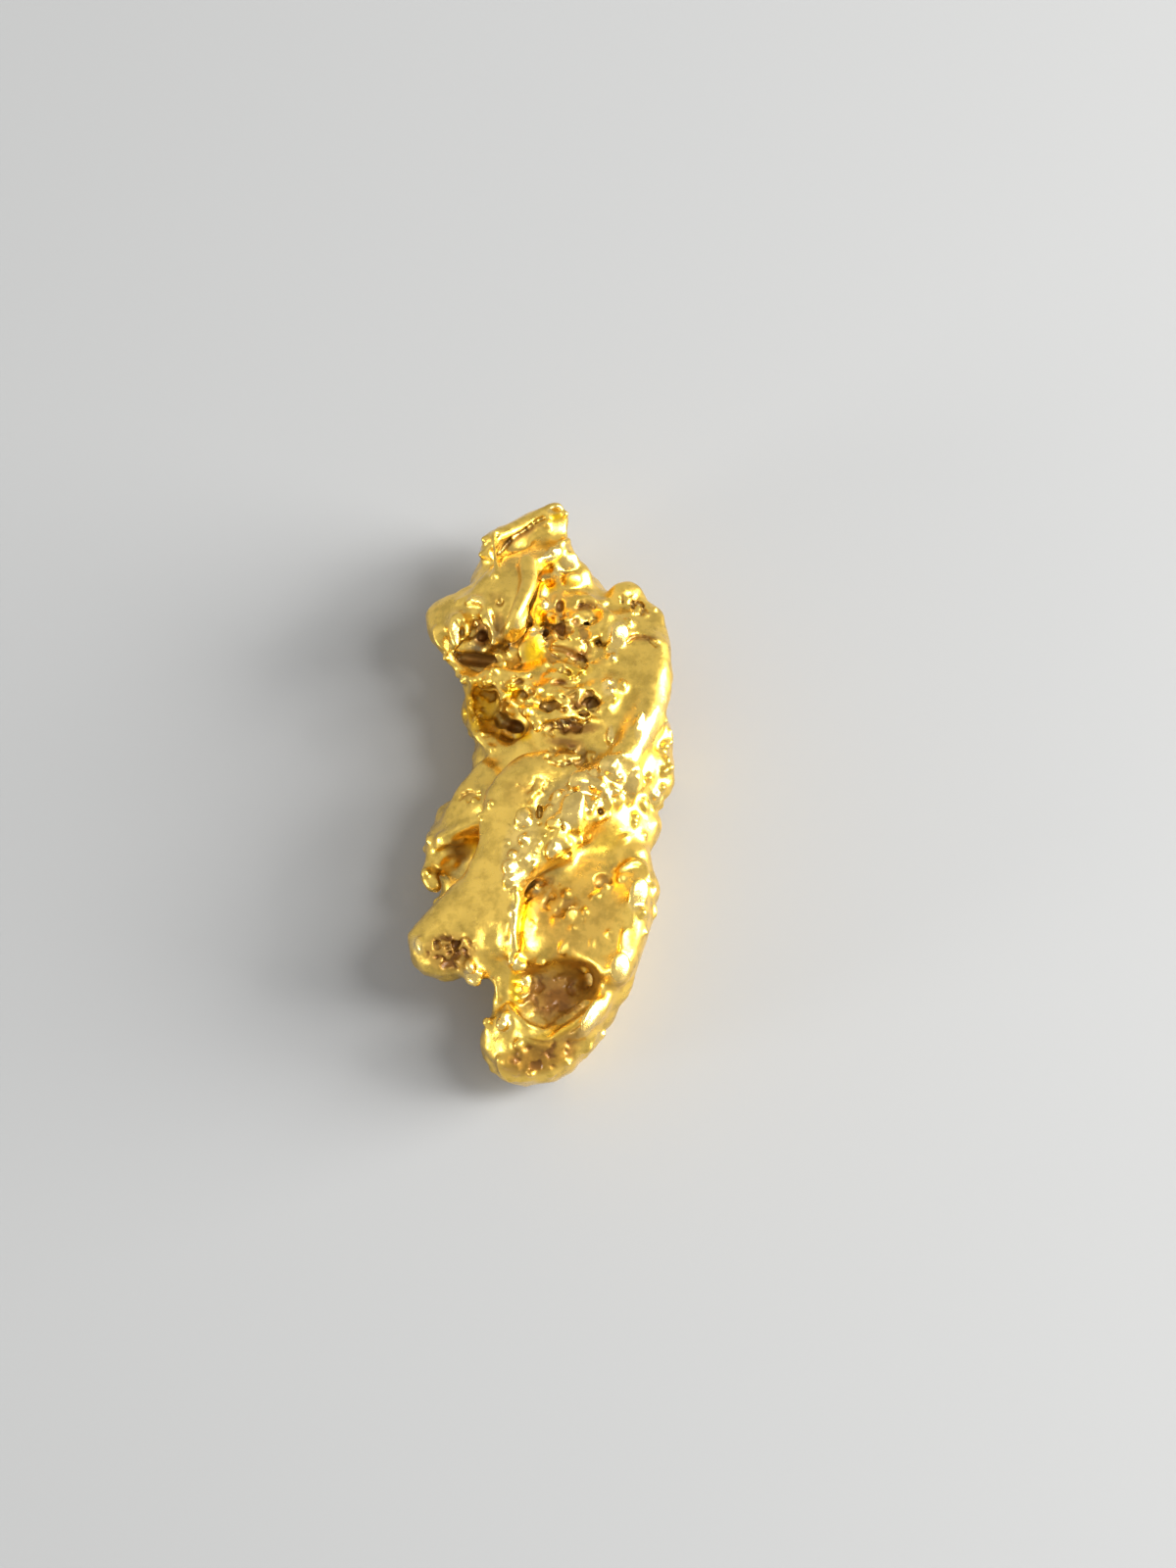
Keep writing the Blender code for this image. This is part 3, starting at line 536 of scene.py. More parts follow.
# Right fold. A long smooth fold of gold with a rolled right edge, a cluster of small pits near its top, a
# short curved crease and a few beads. It lies over a coarsely beaded back.
for across, up, wide, deep in (
    (1.79, 4.03, 0.05, 0.12), (2.0, 3.86, 0.07, 0.14), (1.64, 3.83, 0.04, 0.08), (2.16, 3.7, 0.04, 0.08),
    (1.92, 3.7, 0.04, 0.08), (1.86, 2.14, 0.06, 0.08),
):
    pit(across, up, wide, deep)
for across, up, wide in (
    (1.58, 3.93, 0.05), (1.7, 3.9, 0.05), (1.88, 3.92, 0.06), (1.81, 3.64, 0.07), (2.08, 3.62, 0.07),
    (2.27, 3.73, 0.07), (2.5, 3.48, 0.05), (1.76, 3.46, 0.09), (1.36, 2.97, 0.09), (1.41, 2.74, 0.09),
    (1.31, 2.25, 0.08), (1.38, 2.08, 0.08), (1.43, 1.9, 0.09), (2.65, 1.42, 0.06), (2.58, 1.24, 0.06),
    (2.6, 1.04, 0.07), (2.48, 0.94, 0.1), (2.53, 0.66, 0.08), (2.58, 0.5, 0.09), (2.44, 0.42, 0.08),
):
    bead(across, up, wide)
facet(1.55, 3.22, 0.22, 0.26, -10)
facet(1.72, 3.48, 0.08, 0.12, -30)
bead(1.62, 2.17, 0.1, 0.13)
facet(1.98, 1.42, 0.12, 0.28, -14, 32)
bead(1.38, 1.16, 0.07, 0.2)
groove([(1.7, 3.06), (1.84, 3.17), (2.02, 3.2), (2.2, 3.1), (2.32, 2.98)], 0.045, 3)


# Saddle, flap and foot. The smooth saddle runs down the left as a column of gold to the blunt foot, which has
# a small rough patch. The side flap stands off it over a brown hollow.

# creases beside the column, and the flap
groove([(-1.2, 0.6), (-1.24, 0.2), (-1.28, -0.36)], 0.03, 2.5)
groove([(-1.7, -0.14), (-1.6, -0.02), (-1.44, 0.0), (-1.33, -0.1)], 0.045, 3)
pit(-1.52, -0.15, 0.08, 0.12)
bead(-1.43, -0.13, 0.06)
bead(-1.06, -0.24, 0.085)
bead(-1.25, -0.48, 0.085)
bead(-2.3, -0.98, 0.08, 0.1)
bead(-2.11, -1.42, 0.06)
bead(-1.79, -1.42, 0.06)
bead(-2.39, -1.67, 0.1, 0.13)
curl([(-2.15, -1.12), (-1.95, -1.02), (-1.78, -1.06), (-1.6, -0.96)], 0.05)
curl([(-2.1, -1.36), (-1.9, -1.24), (-1.7, -1.28)], 0.05)
# foot and its rough patch
facet(-2.52, -3.1, 0.1, 0.2, 25, -40)
for across, up, wide, long in (
    (-2.2, -3.08, 0.04, 0.1), (-2.04, -3.04, 0.045, 0.11), (-1.66, -2.98, 0.05, 0.1),
    (-1.82, -3.26, 0.05, 0.1), (-1.88, -3.02, 0.04, 0.08), (-1.54, -3.16, 0.04, 0.06),
    (-2.0, -3.3, 0.04, 0.05), (-2.14, -3.26, 0.04, 0.05),
):
    bead(across, up, wide, long)
pit(-2.16, -3.14, 0.1, 0.1)
pit(-1.95, -3.16, 0.07, 0.12)
pit(-1.75, -3.12, 0.08, 0.12)
bead(-1.5, -3.57, 0.11, 0.16, 20, 0.2)
bead(-1.38, -3.84, 0.12, proud=0.2)
bead(-1.3, -3.7, 0.09, proud=0.2)


# Diagonal band. Bright rough beads and lumps of gold run from the back of the right fold down to the edge
# line, round a small ring pit. A smooth valley lies under them.

# round beads
for across, up, wide in (
    (-0.11, 0.04, 0.07), (0.14, -0.35, 0.09), (-0.75, -1.03, 0.06), (-0.61, -1.28, 0.1), (-0.7, -1.53, 0.13),
    (-0.68, -1.78, 0.12), (-0.57, -2.03, 0.09), (0.18, -0.64, 0.1), (0.5, -1.07, 0.12), (0.57, -0.21, 0.15),
    (1.61, 0.74, 0.09), (1.53, 0.31, 0.09), (1.75, -0.17, 0.08), (2.28, -0.06, 0.1), (2.36, -0.24, 0.1),
    (2.43, 0.1, 0.09), (1.89, -0.5, 0.09), (1.87, -0.66, 0.07), (1.52, -0.25, 0.08), (1.11, -0.53, 0.09),
    (0.96, -0.36, 0.08), (1.04, -0.22, 0.08), (2.07, -0.87, 0.06), (-0.39, -0.96, 0.11), (0.02, -0.9, 0.07),
    (-0.1, -1.05, 0.06), (0.36, -1.3, 0.07), (1.2, 0.4, 0.08), (1.0, 0.42, 0.06), (2.0, 0.14, 0.08),
    (2.16, 0.3, 0.09), (1.3, -0.04, 0.07),
):
    bead(across, up, wide)
# long beads
for across, up, wide, long, turn in (
    (-0.25, -0.1, 0.07, 0.12, -20), (0.28, -0.1, 0.09, 0.17, -22), (-0.36, -0.6, 0.15, 0.16, 0),
    (-0.22, -1.51, 0.09, 0.14, -30), (0.28, -0.86, 0.08, 0.16, -60), (0.18, -1.18, 0.15, 0.19, -20),
    (0.68, -0.5, 0.15, 0.3, -8), (0.76, 0.18, 0.17, 0.24, 80), (1.14, 0.1, 0.17, 0.15, 0),
    (1.46, 0.04, 0.09, 0.14, 60), (1.39, 0.5, 0.17, 0.2, -20), (1.84, 0.33, 0.14, 0.17, 20),
    (1.83, 0.02, 0.08, 0.17, 10), (2.03, -0.22, 0.09, 0.15, 15), (1.36, -0.2, 0.08, 0.13, 10),
    (0.92, -0.92, 0.06, 0.11, -20), (0.75, -0.97, 0.07, 0.12, 0), (1.61, -0.96, 0.06, 0.14, -60),
    (-0.39, -1.35, 0.09, 0.11, -40),
):
    bead(across, up, wide, long, turn)
# flat-faced lumps
for across, up, wide, long, turn in (
    (1.4, 0.54, 0.26, 0.21, 20), (1.84, 0.26, 0.2, 0.32, 0), (2.3, -0.16, 0.14, 0.2, -40),
    (0.78, 0.18, 0.28, 0.22, 10), (1.13, 0.13, 0.2, 0.17, -20), (0.6, -0.26, 0.24, 0.36, -28),
    (-0.38, -0.56, 0.21, 0.25, 0), (0.73, -0.58, 0.16, 0.27, 5), (-0.66, -1.55, 0.16, 0.18, 0),
    (0.22, -1.15, 0.18, 0.25, -35), (0.36, -0.82, 0.14, 0.2, -40), (1.55, -0.1, 0.16, 0.14, 0),
    (-0.7, -1.8, 0.14, 0.16, 0), (2.05, -0.3, 0.14, 0.18, 0), (1.3, -0.42, 0.12, 0.15, 0),
):
    facet(across, up, wide, long, turn)
# the ring pit, other pits and creases
pit(-0.07, -0.39, 0.06, 0.2, 0.2)
pit(1.18, -0.39, 0.08, 0.2)
pit(0.53, -1.28, 0.08, 0.15)
pit(-0.07, -0.64, 0.06, 0.12)
pit(-0.16, -1.26, 0.05, 0.12)
groove([(0.96, -0.02), (1.3, -0.12), (1.6, -0.06), (1.7, 0.14)], 0.04, 3)
groove([(0.3, -0.34), (0.36, -0.6), (0.44, -0.84)], 0.04, 3)


# Plate, edge line and bowl. The pitted plate has an upright edge line at its left and a bright right edge.
# Below it a thin wavy rim of gold closes a dark cavity, over the rounded end of the bowl.
RING_PIT_WIDTH = 0.4
RING_PIT_DEPTH = 0.8

# plate and its right edge
pit(1.22, -1.8, 0.2, 0.15)
bead(1.28, -1.93, 0.09)
curl([(1.6, -1.6), (1.82, -1.44), (2.04, -1.5), (2.12, -1.74)], 0.07)
bead(1.61, -1.76, 0.09)
facet(1.92, -2.08, 0.24, 0.34, -12, 25)
bead(2.26, -2.0, 0.06, 0.14)
bead(2.26, -2.43, 0.07, 0.15)
bead(2.08, -2.86, 0.07)
bead(2.02, -2.46, 0.1)
facet(1.55, -3.56, 0.24, 0.34, -10, 25)
facet(1.66, -3.06, 0.12, 0.3, -6, 32)
facet(0.58, -2.48, 0.15, 0.2, -25)
groove([(0.74, -2.34), (0.85, -2.5), (0.8, -2.68)], 0.04, 2)
bead(1.08, -2.13, 0.07, 0.13, -60)
bead(0.48, -2.07, 0.07)
bead(-0.17, -1.93, 0.08)
facet(0.44, -3.18, 0.12, 0.19, -40)
bead(1.0, -3.15, 0.04, 0.17)
bead(0.87, -3.61, 0.09)
bead(-0.02, -3.47, 0.08)
# beads with a pit in the middle
for across, up, wide in (
    (0.3, -2.6, 0.09), (-0.24, -2.68, 0.07), (0.62, -2.76, 0.06), (1.37, -2.86, 0.07), (0.86, -2.44, 0.07),
    (0.4, -2.68, 0.06), (0.51, -5.52, 0.08),
):
    bead(across, up, wide, proud=0.2)
    pit(across, up, RING_PIT_WIDTH * wide, RING_PIT_DEPTH * wide)
# edge line
groove([(-0.34, -2.16), (-0.44, -2.66), (-0.5, -3.2)], 0.07, 2)
curl([(-0.56, -2.04), (-0.59, -2.42), (-0.61, -2.86), (-0.6, -3.22)], 0.08, 0.6)
bead(-0.57, -2.2, 0.1, 0.14, proud=0.6)
bead(-0.62, -2.44, 0.09, 0.12, proud=0.6)
bead(-0.56, -3.46, 0.18, 0.15, proud=0.7)
bead(-0.31, -3.76, 0.12, proud=0.8)
# rim round the cavity
curl([(-0.56, -3.96), (-0.62, -4.06), (-0.52, -4.12), (-0.48, -4.0)], 0.05, 0.6)
curl([(-0.31, -3.98), (-0.34, -4.14), (-0.46, -4.22)], 0.08, 0.8)
curl([(-0.96, -3.8), (-0.93, -4.0), (-0.9, -4.2)], 0.05)
cavity_rim = [
    (-0.7, -4.4), (-0.56, -4.6), (-0.38, -4.78), (-0.17, -4.87), (0.05, -4.93), (0.33, -4.72), (0.62, -4.5),
    (0.91, -4.32),
]
curl(cavity_rim, 0.085, 0.6)
groove([(-0.3, -5.06), (0.1, -5.14), (0.34, -5.0), (0.66, -4.78), (0.86, -4.62)], 0.06, 1.5)
facet(0.98, -4.56, 0.18, 0.44, -32, 30)
# bowl
bead(1.19, -4.96, 0.07, 0.13, -30)
bead(0.91, -5.22, 0.08, 0.16, -40)
for across, up, wide in (
    (-1.11, -4.72, 0.11), (-0.81, -4.75, 0.14), (-0.77, -4.57, 0.1), (-0.5, -5.13, 0.11),
    (-0.42, -5.32, 0.06), (-0.24, -5.72, 0.09),
):
    bead(across, up, wide, proud=0.5)
curl([(-0.88, -5.44), (-0.84, -5.66), (-0.66, -5.86)], 0.07)
curl([(-0.6, -5.48), (-0.52, -5.62), (-0.56, -5.76)], 0.05)
curl([(-0.2, -5.82), (-0.34, -5.88), (-0.48, -5.88)], 0.05)


# Back and sides. They aren't worn as smooth as the show side, so rough beads of gold stand all over them,
# strewn at random up to the height where the show side begins, and each a little sunk into the skin.
STREWN_BEADS = 200
STREWN_SEED = 12
GROUND_CLEAR = 0.25
BACK_HEIGHT = 1.3
BEAD_WIDTHS = (0.06, 0.13)
MOST_LENGTHENED = 1.6
BEAD_SINK = 0.45

strewn = random.Random(STREWN_SEED)
back_spots = []
for vertex in nugget.data.vertices:
    if GROUND_CLEAR < vertex.co.z < BACK_HEIGHT:
        back_spots.append((vertex.co.copy(), vertex.normal.copy()))
for point, facing in strewn.sample(back_spots, STREWN_BEADS):
    wide = strewn.uniform(*BEAD_WIDTHS)
    half_sizes = (wide, wide * strewn.uniform(1, MOST_LENGTHENED), wide)
    add_ball(forms, point - facing * wide * BEAD_SINK, half_sizes, strewn.uniform(0, 180))


# Finished skin. The forms and the body are melted into one closed skin of gold, the hollows are cut out of
# it, and fine holes eat into the rough places that no wear reaches. It keeps within the nugget's own box.
FORM_VOXEL = 0.045
SKIN_VOXEL = 0.036
SKIN_TRIANGLES = 190000
PITTED_PLACES = (
    # bed, basket and the top of the right fold
    (0.9, 3.75, 0.35, 0.25, 0), (0.5, 3.0, 0.6, 0.95, 0), (-0.5, 2.2, 0.4, 0.4, 0), (0.55, 1.6, 0.65, 0.6, 0),
    (-1.2, 1.7, 0.4, 0.6, 0, 0.5), (1.85, 3.85, 0.4, 0.22, -15),
    # saddle, top of the band, and the foot
    (0.55, 0.75, 0.6, 0.25, 0), (-0.2, 0.15, 0.4, 0.2, 0, 0.4), (-1.87, -3.22, 0.55, 0.4, 0),
    # edge line, plate and bowl
    (-0.3, -2.1, 0.25, 0.35, 0, 0.3), (0.2, -2.2, 0.7, 0.6, 0, 0.3), (0.3, -2.3, 0.5, 0.3, 0, 0.4),
    (0.22, -4.15, 0.75, 0.6, 10, 0.35), (0.1, -5.3, 0.9, 0.35, 15, 0.5),
)
PITTED_DEPTH = 0.11
HOLES_PER_MM = 4.2
FINE_HOLES_PER_MM = 10.0
FINE_HOLE_SHARE = 0.4
HOLE_LEVEL = 0.02
HOLE_STEEPNESS = 4.0

bpy.data.objects.remove(ball)
hollow = gather(cutters, "hollows")
melt(hollow, FORM_VOXEL, 0)
gather([nugget] + forms, "nugget_skin")
melt(nugget, FORM_VOXEL, 1)
carve = nugget.modifiers.new("carve", "BOOLEAN")
carve.operation = "DIFFERENCE"
carve.solver = "MANIFOLD"
carve.object = hollow
select_only(nugget)
bpy.ops.object.modifier_apply(modifier=carve.name)
bpy.data.objects.remove(hollow)
melt(nugget, SKIN_VOXEL, 1)


def holes_at(right, up):
    """How deep the pitting is at each place of the show side, from 0 on the ridges to 1 in the holes."""
    spots = [Vector((x, y, 0)) for x, y in zip(right, up)]
    coarse = np.array([noise.noise(spot * HOLES_PER_MM) for spot in spots])
    fine = np.array([noise.noise(spot * FINE_HOLES_PER_MM) for spot in spots])
    return np.clip(HOLE_STEEPNESS * (coarse + FINE_HOLE_SHARE * fine - HOLE_LEVEL), 0, 1)


skin_right, skin_up = show_places(nugget)
pitting = share_in(PITTED_PLACES, skin_right, skin_up) * turned_to_eye(nugget) * holes_at(skin_right, skin_up)
sunk_to = []
for vertex, pitted in zip(nugget.data.vertices, pitting):
    sunk_to.append(vertex.co - vertex.normal * PITTED_DEPTH * pitted)
for vertex, place in zip(nugget.data.vertices, sunk_to):
    vertex.co = place

# each face of the melted skin is thinned as two triangles
thin = nugget.modifiers.new("thin", "DECIMATE")
thin.ratio = min(1.0, SKIN_TRIANGLES / (2 * len(nugget.data.polygons)))
thin.use_collapse_triangulate = True
select_only(nugget)
bpy.ops.object.modifier_apply(modifier=thin.name)

low, high = (corner / MM for corner in cad_box)
kept_in = np.clip(points_of(nugget), low, high)
nugget.data.vertices.foreach_set("co", kept_in.ravel())
nugget.data.update()


# Gold. Soft yellow native gold: satin where it is worn, and polished on its rims and beads with a pale
# painted highlight mixed into its colour. Its folds carry a painted deep-yellow reflection of gold on gold,
# places that lie closed in are darkened with painted shade, and its pits and creases are matt brown, partly
# old grime and partly painted shade. Each point of the skin keeps four shares that mix its finish: how open
# it lies, how grimy and shaded, how much painted reflection, and how polished and highlighted it is.
OPEN_RAYS = 14
OPEN_REACH = 1.2
OPEN_SEED = 5
RAY_LENGTHS = (0.1, 1)
RAY_START = 0.01
# Brown in these places and in the pits is partly old grime and partly painted shade in creases, slots and
# hollows.
GRIME_AND_SHADE_PLACES = (
    # crest, blade and ear
    (-0.38, 5.32, 0.55, 0.06, 33), (-0.95, 3.95, 0.2, 0.2, 0, 0.4), (-0.9, 3.4, 0.14, 0.35, 0, 0.8),
    (-1.24, 3.2, 0.22, 0.25, 0), (-1.38, 2.7, 0.5, 0.18, 0, 1.1),
    # bed and basket
    (0.33, 3.81, 0.1, 0.2, 0), (0.84, 3.8, 0.26, 0.09, 0), (0.36, 3.32, 0.3, 0.13, 0),
    (0.6, 2.86, 0.5, 0.12, -15), (0.32, 2.24, 0.22, 0.11, 0), (0.84, 1.88, 0.3, 0.12, 40),
    (0.75, 1.28, 0.5, 0.13, 8), (0.45, 1.02, 0.45, 0.12, -5), (-0.62, 1.38, 0.26, 0.18, -10),
    (-1.25, 1.8, 0.45, 0.6, 0, 0.45),
    # crease in the right fold, saddle, flap and foot
    (2.02, 3.16, 0.36, 0.08, 0), (-0.4, 0.05, 0.45, 0.35, 20, 0.3), (-1.55, -0.05, 0.2, 0.12, 0, 0.6),
    (-1.7, -1.2, 0.35, 0.25, -15, 0.9), (-1.87, -3.24, 0.62, 0.46, 0, 0.85),
    # plate and bowl
    (1.22, -1.8, 0.22, 0.2, 0, 0.6), (0.3, -2.2, 0.5, 0.3, 0, 0.12), (0.6, -2.6, 1.0, 0.9, 0, 0.38),
    (1.5, -3.9, 0.3, 0.12, 30, 0.5), (0.32, -4.1, 0.75, 0.62, 10), (0.3, -4.2, 0.4, 0.36, 0, 1.3),
    (0.5, -5.0, 0.5, 0.22, 35, 0.8), (-0.1, -5.35, 0.9, 0.4, 12, 0.95),
)
GRIME_AND_SHADE_IN_HOLES = 0.7
GRIME_AND_SHADE_IN_PLACES = 0.85
# Painted reflections: deep yellow where gold would mirror gold, in folds, hollows and between the knuckles.
PAINTED_REFLECTION_PLACES = (
    # crest, and between the knuckles
    (0.27, 5.68, 0.14, 0.1, 0), (0.08, 4.62, 0.2, 0.14, 0, 0.8), (0.58, 4.34, 0.2, 0.12, 0, 0.5),
    (0.08, 4.24, 0.24, 0.16, 0), (-0.08, 3.62, 0.16, 0.3, 0),
    # bed and basket
    (-0.17, 2.86, 0.26, 0.4, 0), (0.7, 2.46, 0.4, 0.14, 15, 0.5), (-0.62, 2.06, 0.2, 0.2, 0),
    (-1.3, 1.75, 0.45, 0.6, 0), (-0.4, 1.15, 0.2, 0.12, 0),
    # hollow under the flap, valley, edge line and bowl
    (-1.45, -1.1, 0.2, 0.3, 0, 0.8), (1.35, -0.95, 0.6, 0.3, 30, 0.35), (-0.36, -2.6, 0.2, 0.75, 0, 0.9),
    (-0.55, -3.95, 0.15, 0.5, 0, 0.8), (0.25, -4.86, 0.6, 0.12, 20, 0.5), (-0.1, -5.35, 0.85, 0.36, 12, 0.5),
)
# Polished places: smoother and coated, and paler in colour as a painted highlight where the glints fall.
POLISHED_AND_HIGHLIGHT_PLACES = (
    # crest, blade's edge, knuckles and ear
    (0.22, 5.83, 0.16, 0.08, 12), (0.17, 4.87, 0.14, 0.26, -50), (0.53, 4.74, 0.2, 0.18, 0),
    (0.33, 4.52, 0.15, 0.13, 0), (0.05, 3.86, 0.1, 0.14, 0), (-0.42, 3.52, 0.14, 0.34, -25),
    (-0.2, 3.28, 0.09, 0.1, 0), (-1.05, 3.3, 0.15, 0.5, 10, 0.6), (-1.35, 3.92, 0.2, 0.12, 0, 0.6),
    (-1.8, 3.3, 0.09, 0.3, 0, 0.6),
    # right fold
    (1.55, 3.22, 0.25, 0.32, 0), (1.42, 2.84, 0.12, 0.17, 0), (1.36, 2.16, 0.17, 0.22, 0),
    (2.22, 1.38, 0.15, 0.8, -26), (2.0, 1.34, 0.12, 0.34, -14), (1.38, 1.16, 0.08, 0.22, 0),
    # diagonal band
    (0.95, 0.1, 1.3, 0.5, 28, 0.7), (-0.45, -1.2, 0.4, 0.95, -12, 0.6), (1.4, 0.5, 0.27, 0.22, 0),
    (1.8, 0.2, 0.17, 0.32, 0), (2.3, -0.1, 0.17, 0.2, 0), (0.8, 0.12, 0.27, 0.2, 0),
    (0.62, -0.36, 0.24, 0.45, -25), (-0.37, -0.57, 0.18, 0.22, 0), (0.24, -1.15, 0.2, 0.27, -30),
    (-0.66, -1.6, 0.17, 0.34, 0),
    # foot, edge line, plate and bowl
    (-2.55, -3.1, 0.12, 0.22, 25), (-1.44, -3.68, 0.16, 0.27, 0), (-0.59, -2.7, 0.08, 0.6, 0),
    (-0.56, -3.46, 0.19, 0.15, 0), (-0.34, -3.92, 0.13, 0.32, 0, 0.7), (1.9, -2.12, 0.2, 0.3, -12),
    (1.55, -3.58, 0.2, 0.32, 0), (-0.76, -4.68, 0.2, 0.18, 0), (0.98, -4.56, 0.18, 0.46, -32),
    (1.17, -4.95, 0.1, 0.16, -30),
)
# a painted reflection of gold on gold
DEEP_YELLOW_REFLECTION = (1.0, 0.58, 0.012, 1)
# a painted highlight on the polished places
PALE_GOLD_HIGHLIGHT = (1.0, 0.69, 0.18, 1)
# brown that is partly grime and partly painted shade
GRIME_AND_SHADE_BROWN = (0.27, 0.112, 0.013, 1)
# painted shade: the less open a point lies, the darker its colour
PAINTED_SHADE_FROM_CLOSED_TO_OPEN = (
    (0.02, (0.34, 0.235, 0.10, 1)),
    (0.20, (0.67, 0.45, 0.115, 1)),
    (0.45, (0.90, 0.585, 0.10, 1)),
    (0.75, (0.94, 0.62, 0.115, 1)),
)
BLOTCH_TINTS = (
    (0.38, (0.74, 0.73, 0.68, 1)),
    (0.55, (1.0, 1.0, 1.0, 1)),
)
BLOTCHES_PER_M = 3600
SHEEN_BLOTCHES_PER_M = 5200
SCRATCHES_PER_M = 14000
MOTTLE_DETAIL = 5
SCRATCH_DETAIL = 6
MOTTLE_ROUGHNESS = 0.6
POLISHED_ROUGHNESS = 0.2
WORN_ROUGHNESSES = ((0.3, 0.24), (0.7, 0.40))
GRIME_AND_SHADE_ROUGHNESS = 0.62
GRIME_AND_SHADE_METALLIC = 0.7
COAT_ROUGHNESS = 0.12
COATS_FROM_WORN_TO_POLISHED = ((0.0, 0.25), (0.8, 1))
SCRATCH_STRENGTH = 0.35
SCRATCH_DEPTH = 0.00002

# How open each point lies, by rays cast from it, which the colour turns into painted shade.
spread = random.Random(OPEN_SEED)
rays = []
while len(rays) < OPEN_RAYS:
    way = Vector((spread.uniform(-1, 1), spread.uniform(-1, 1), spread.uniform(-1, 1)))
    if RAY_LENGTHS[0] < way.length < RAY_LENGTHS[1]:
        rays.append(way.normalized())
skin_tree = BVHTree.FromObject(nugget, bpy.context.evaluated_depsgraph_get())
openness = np.empty(len(nugget.data.vertices))
for index, vertex in enumerate(nugget.data.vertices):
    start = vertex.co + vertex.normal * RAY_START
    free = 0
    for ray in rays:
        way = ray if ray.dot(vertex.normal) > 0 else -ray
        if skin_tree.ray_cast(start, way, OPEN_REACH)[0] is None:
            free += 1
    openness[index] = free / OPEN_RAYS


def keep_with_skin(name, values):
    """Keeps one value for each point of the skin under that name."""
    layer = nugget.data.attributes.new(name, "FLOAT", "POINT")
    layer.data.foreach_set("value", values)


skin_right, skin_up = show_places(nugget)
to_eye = turned_to_eye(nugget)
holes = share_in(PITTED_PLACES, skin_right, skin_up) * holes_at(skin_right, skin_up)
# the brown share, partly grime and partly painted shade in the pits and hollows
grime_and_shade_level = GRIME_AND_SHADE_IN_HOLES * holes + GRIME_AND_SHADE_IN_PLACES * share_in(GRIME_AND_SHADE_PLACES, skin_right, skin_up)
keep_with_skin("open_share", openness)
keep_with_skin("grime_and_shade_share", np.clip(grime_and_shade_level, 0, 1) * to_eye)
keep_with_skin("painted_reflection_share", share_in(PAINTED_REFLECTION_PLACES, skin_right, skin_up) * to_eye)
keep_with_skin("polish_and_highlight_share", share_in(POLISHED_AND_HIGHLIGHT_PLACES, skin_right, skin_up) * to_eye)

gold = bpy.data.materials.new("native_gold")
gold.use_nodes = True
nodes = gold.node_tree.nodes
links = gold.node_tree.links
surface = nodes["Principled BSDF"]
surface.inputs["Coat Roughness"].default_value = COAT_ROUGHNESS
skin_place = nodes.new("ShaderNodeTexCoord").outputs["Object"]


def noise_at(scale, detail):
    """Mottling of that scale, in blotches to the metre."""
    mottle = nodes.new("ShaderNodeTexNoise")
    mottle.inputs["Scale"].default_value = scale
    mottle.inputs["Detail"].default_value = detail
    mottle.inputs["Roughness"].default_value = MOTTLE_ROUGHNESS
    links.new(skin_place, mottle.inputs["Vector"])
    return mottle.outputs["Fac"]


def kept_share(name):
    """The value that the skin keeps under that name."""
    kept = nodes.new("ShaderNodeAttribute")
    kept.attribute_name = name
    return kept.outputs["Fac"]


def grey(level):
    """A grey of that level, for a value that a colour ramp or a blend carries."""
    return (level, level, level, 1)


def ramp(value, stops):
    """Colours a value through stops of (place, colour), where a level stands for its grey."""
    coloured = nodes.new("ShaderNodeValToRGB")
    edge = coloured.color_ramp
    shades = [(position, colour if isinstance(colour, tuple) else grey(colour)) for position, colour in stops]
    edge.elements[0].position, edge.elements[0].color = shades[0]
    edge.elements[1].position, edge.elements[1].color = shades[-1]
    for position, colour in shades[1:-1]:
        edge.elements.new(position).color = colour
    links.new(value, coloured.inputs["Fac"])
    return coloured.outputs["Color"]


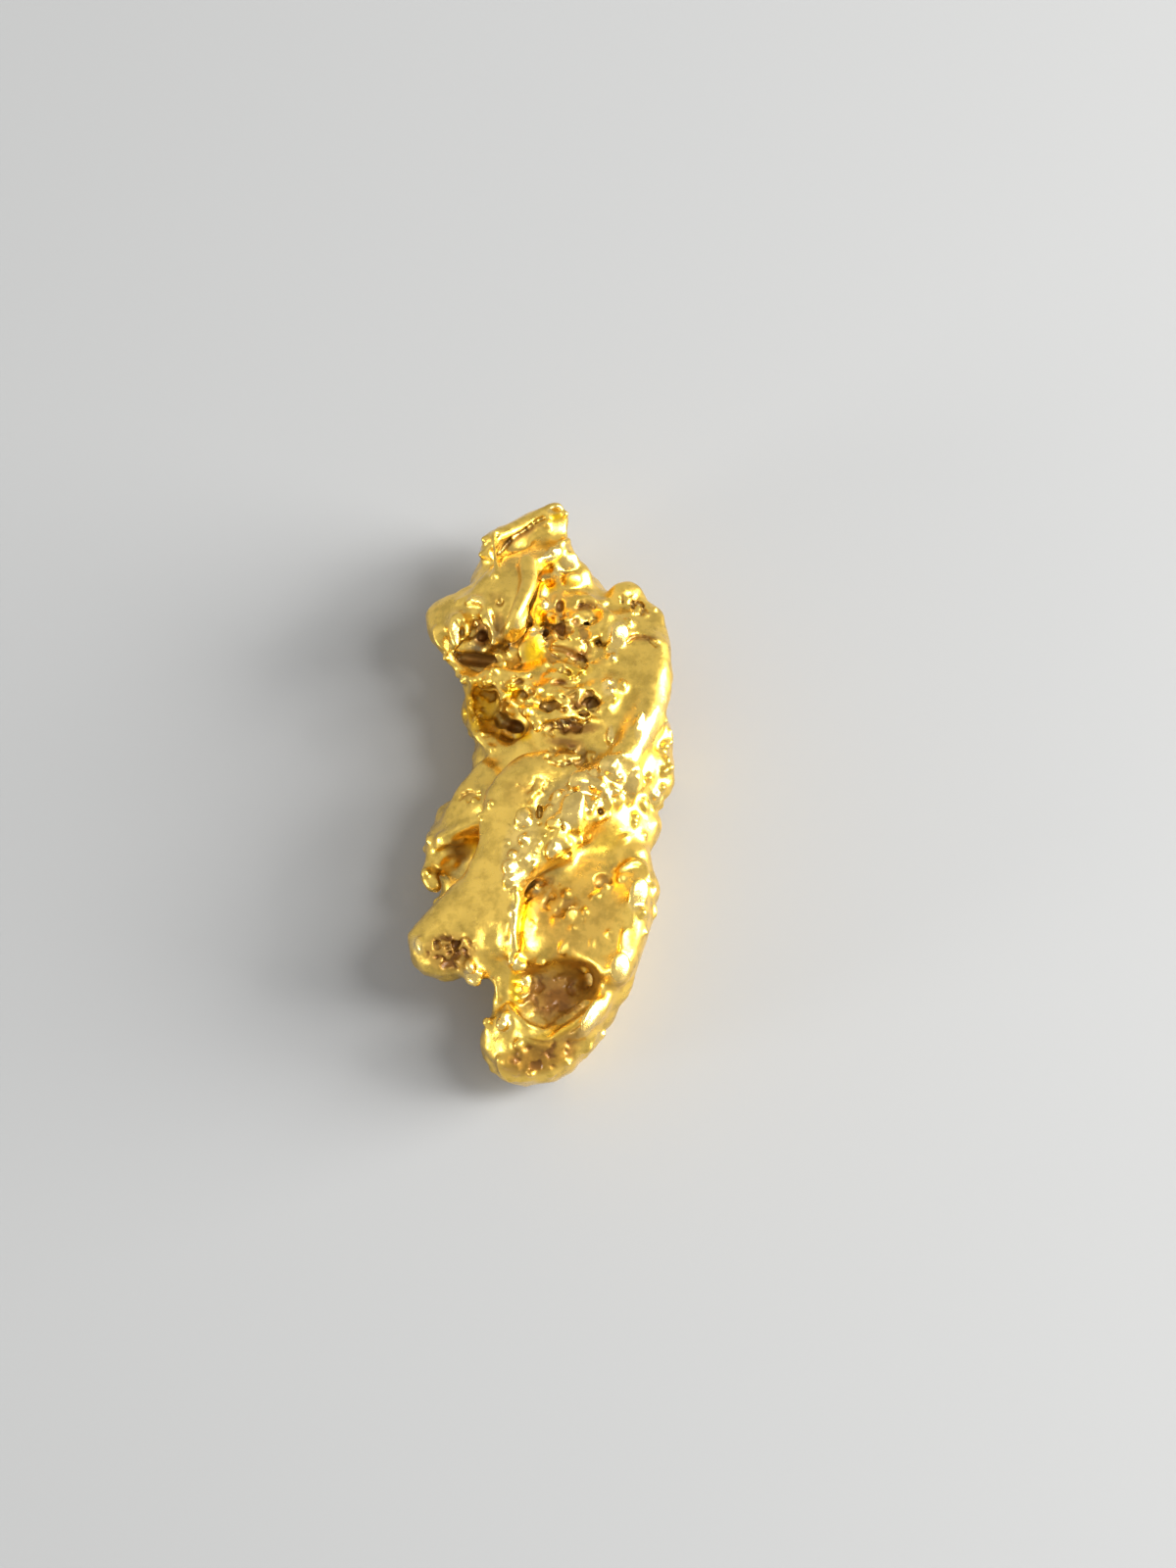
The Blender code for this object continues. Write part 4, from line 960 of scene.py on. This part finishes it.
def blend_colours(first, second, share, how="MIX"):
    """Blends a second colour over the first, each a socket or a plain colour."""
    mixed = nodes.new("ShaderNodeMix")
    mixed.data_type = "RGBA"
    mixed.blend_type = how
    for name, value in (("Factor", share), ("A", first), ("B", second)):
        if isinstance(value, bpy.types.NodeSocket):
            links.new(value, mixed.inputs[name])
        else:
            mixed.inputs[name].default_value = value
    return mixed.outputs["Result"]


# brown share, partly grime and partly painted shade
grime_and_shade = kept_share("grime_and_shade_share")
# polish, with its pale painted highlight
polish_and_highlight = kept_share("polish_and_highlight_share")
# painted shade from how closed in each point lies
painted_shade = ramp(kept_share("open_share"), PAINTED_SHADE_FROM_CLOSED_TO_OPEN)
blotch = ramp(noise_at(BLOTCHES_PER_M, MOTTLE_DETAIL), BLOTCH_TINTS)
# the painted deep-yellow reflection
with_painted_reflection = blend_colours(painted_shade, DEEP_YELLOW_REFLECTION, kept_share("painted_reflection_share"))
dirtied_and_shaded = blend_colours(blend_colours(with_painted_reflection, PALE_GOLD_HIGHLIGHT, polish_and_highlight), GRIME_AND_SHADE_BROWN, grime_and_shade)
links.new(blend_colours(dirtied_and_shaded, blotch, 1.0, "MULTIPLY"), surface.inputs["Base Color"])
links.new(ramp(grime_and_shade, ((0.0, 1), (1.0, GRIME_AND_SHADE_METALLIC))), surface.inputs["Metallic"])

worn_shine = ramp(noise_at(SHEEN_BLOTCHES_PER_M, MOTTLE_DETAIL), WORN_ROUGHNESSES)
polished_shine = blend_colours(worn_shine, grey(POLISHED_ROUGHNESS), polish_and_highlight)
links.new(blend_colours(polished_shine, grey(GRIME_AND_SHADE_ROUGHNESS), grime_and_shade), surface.inputs["Roughness"])
links.new(ramp(polish_and_highlight, COATS_FROM_WORN_TO_POLISHED), surface.inputs["Coat Weight"])
scratches = nodes.new("ShaderNodeBump")
scratches.inputs["Strength"].default_value = SCRATCH_STRENGTH
scratches.inputs["Distance"].default_value = SCRATCH_DEPTH
links.new(noise_at(SCRATCHES_PER_M, SCRATCH_DETAIL), scratches.inputs["Height"])
links.new(scratches.outputs["Normal"], surface.inputs["Normal"])

nugget.data.materials.clear()
nugget.data.materials.append(gold)
nugget.data.shade_smooth()
nugget.data.transform(Matrix.Scale(MM, 4))
nugget.data.update()
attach(nugget, "root")
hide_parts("nugget")
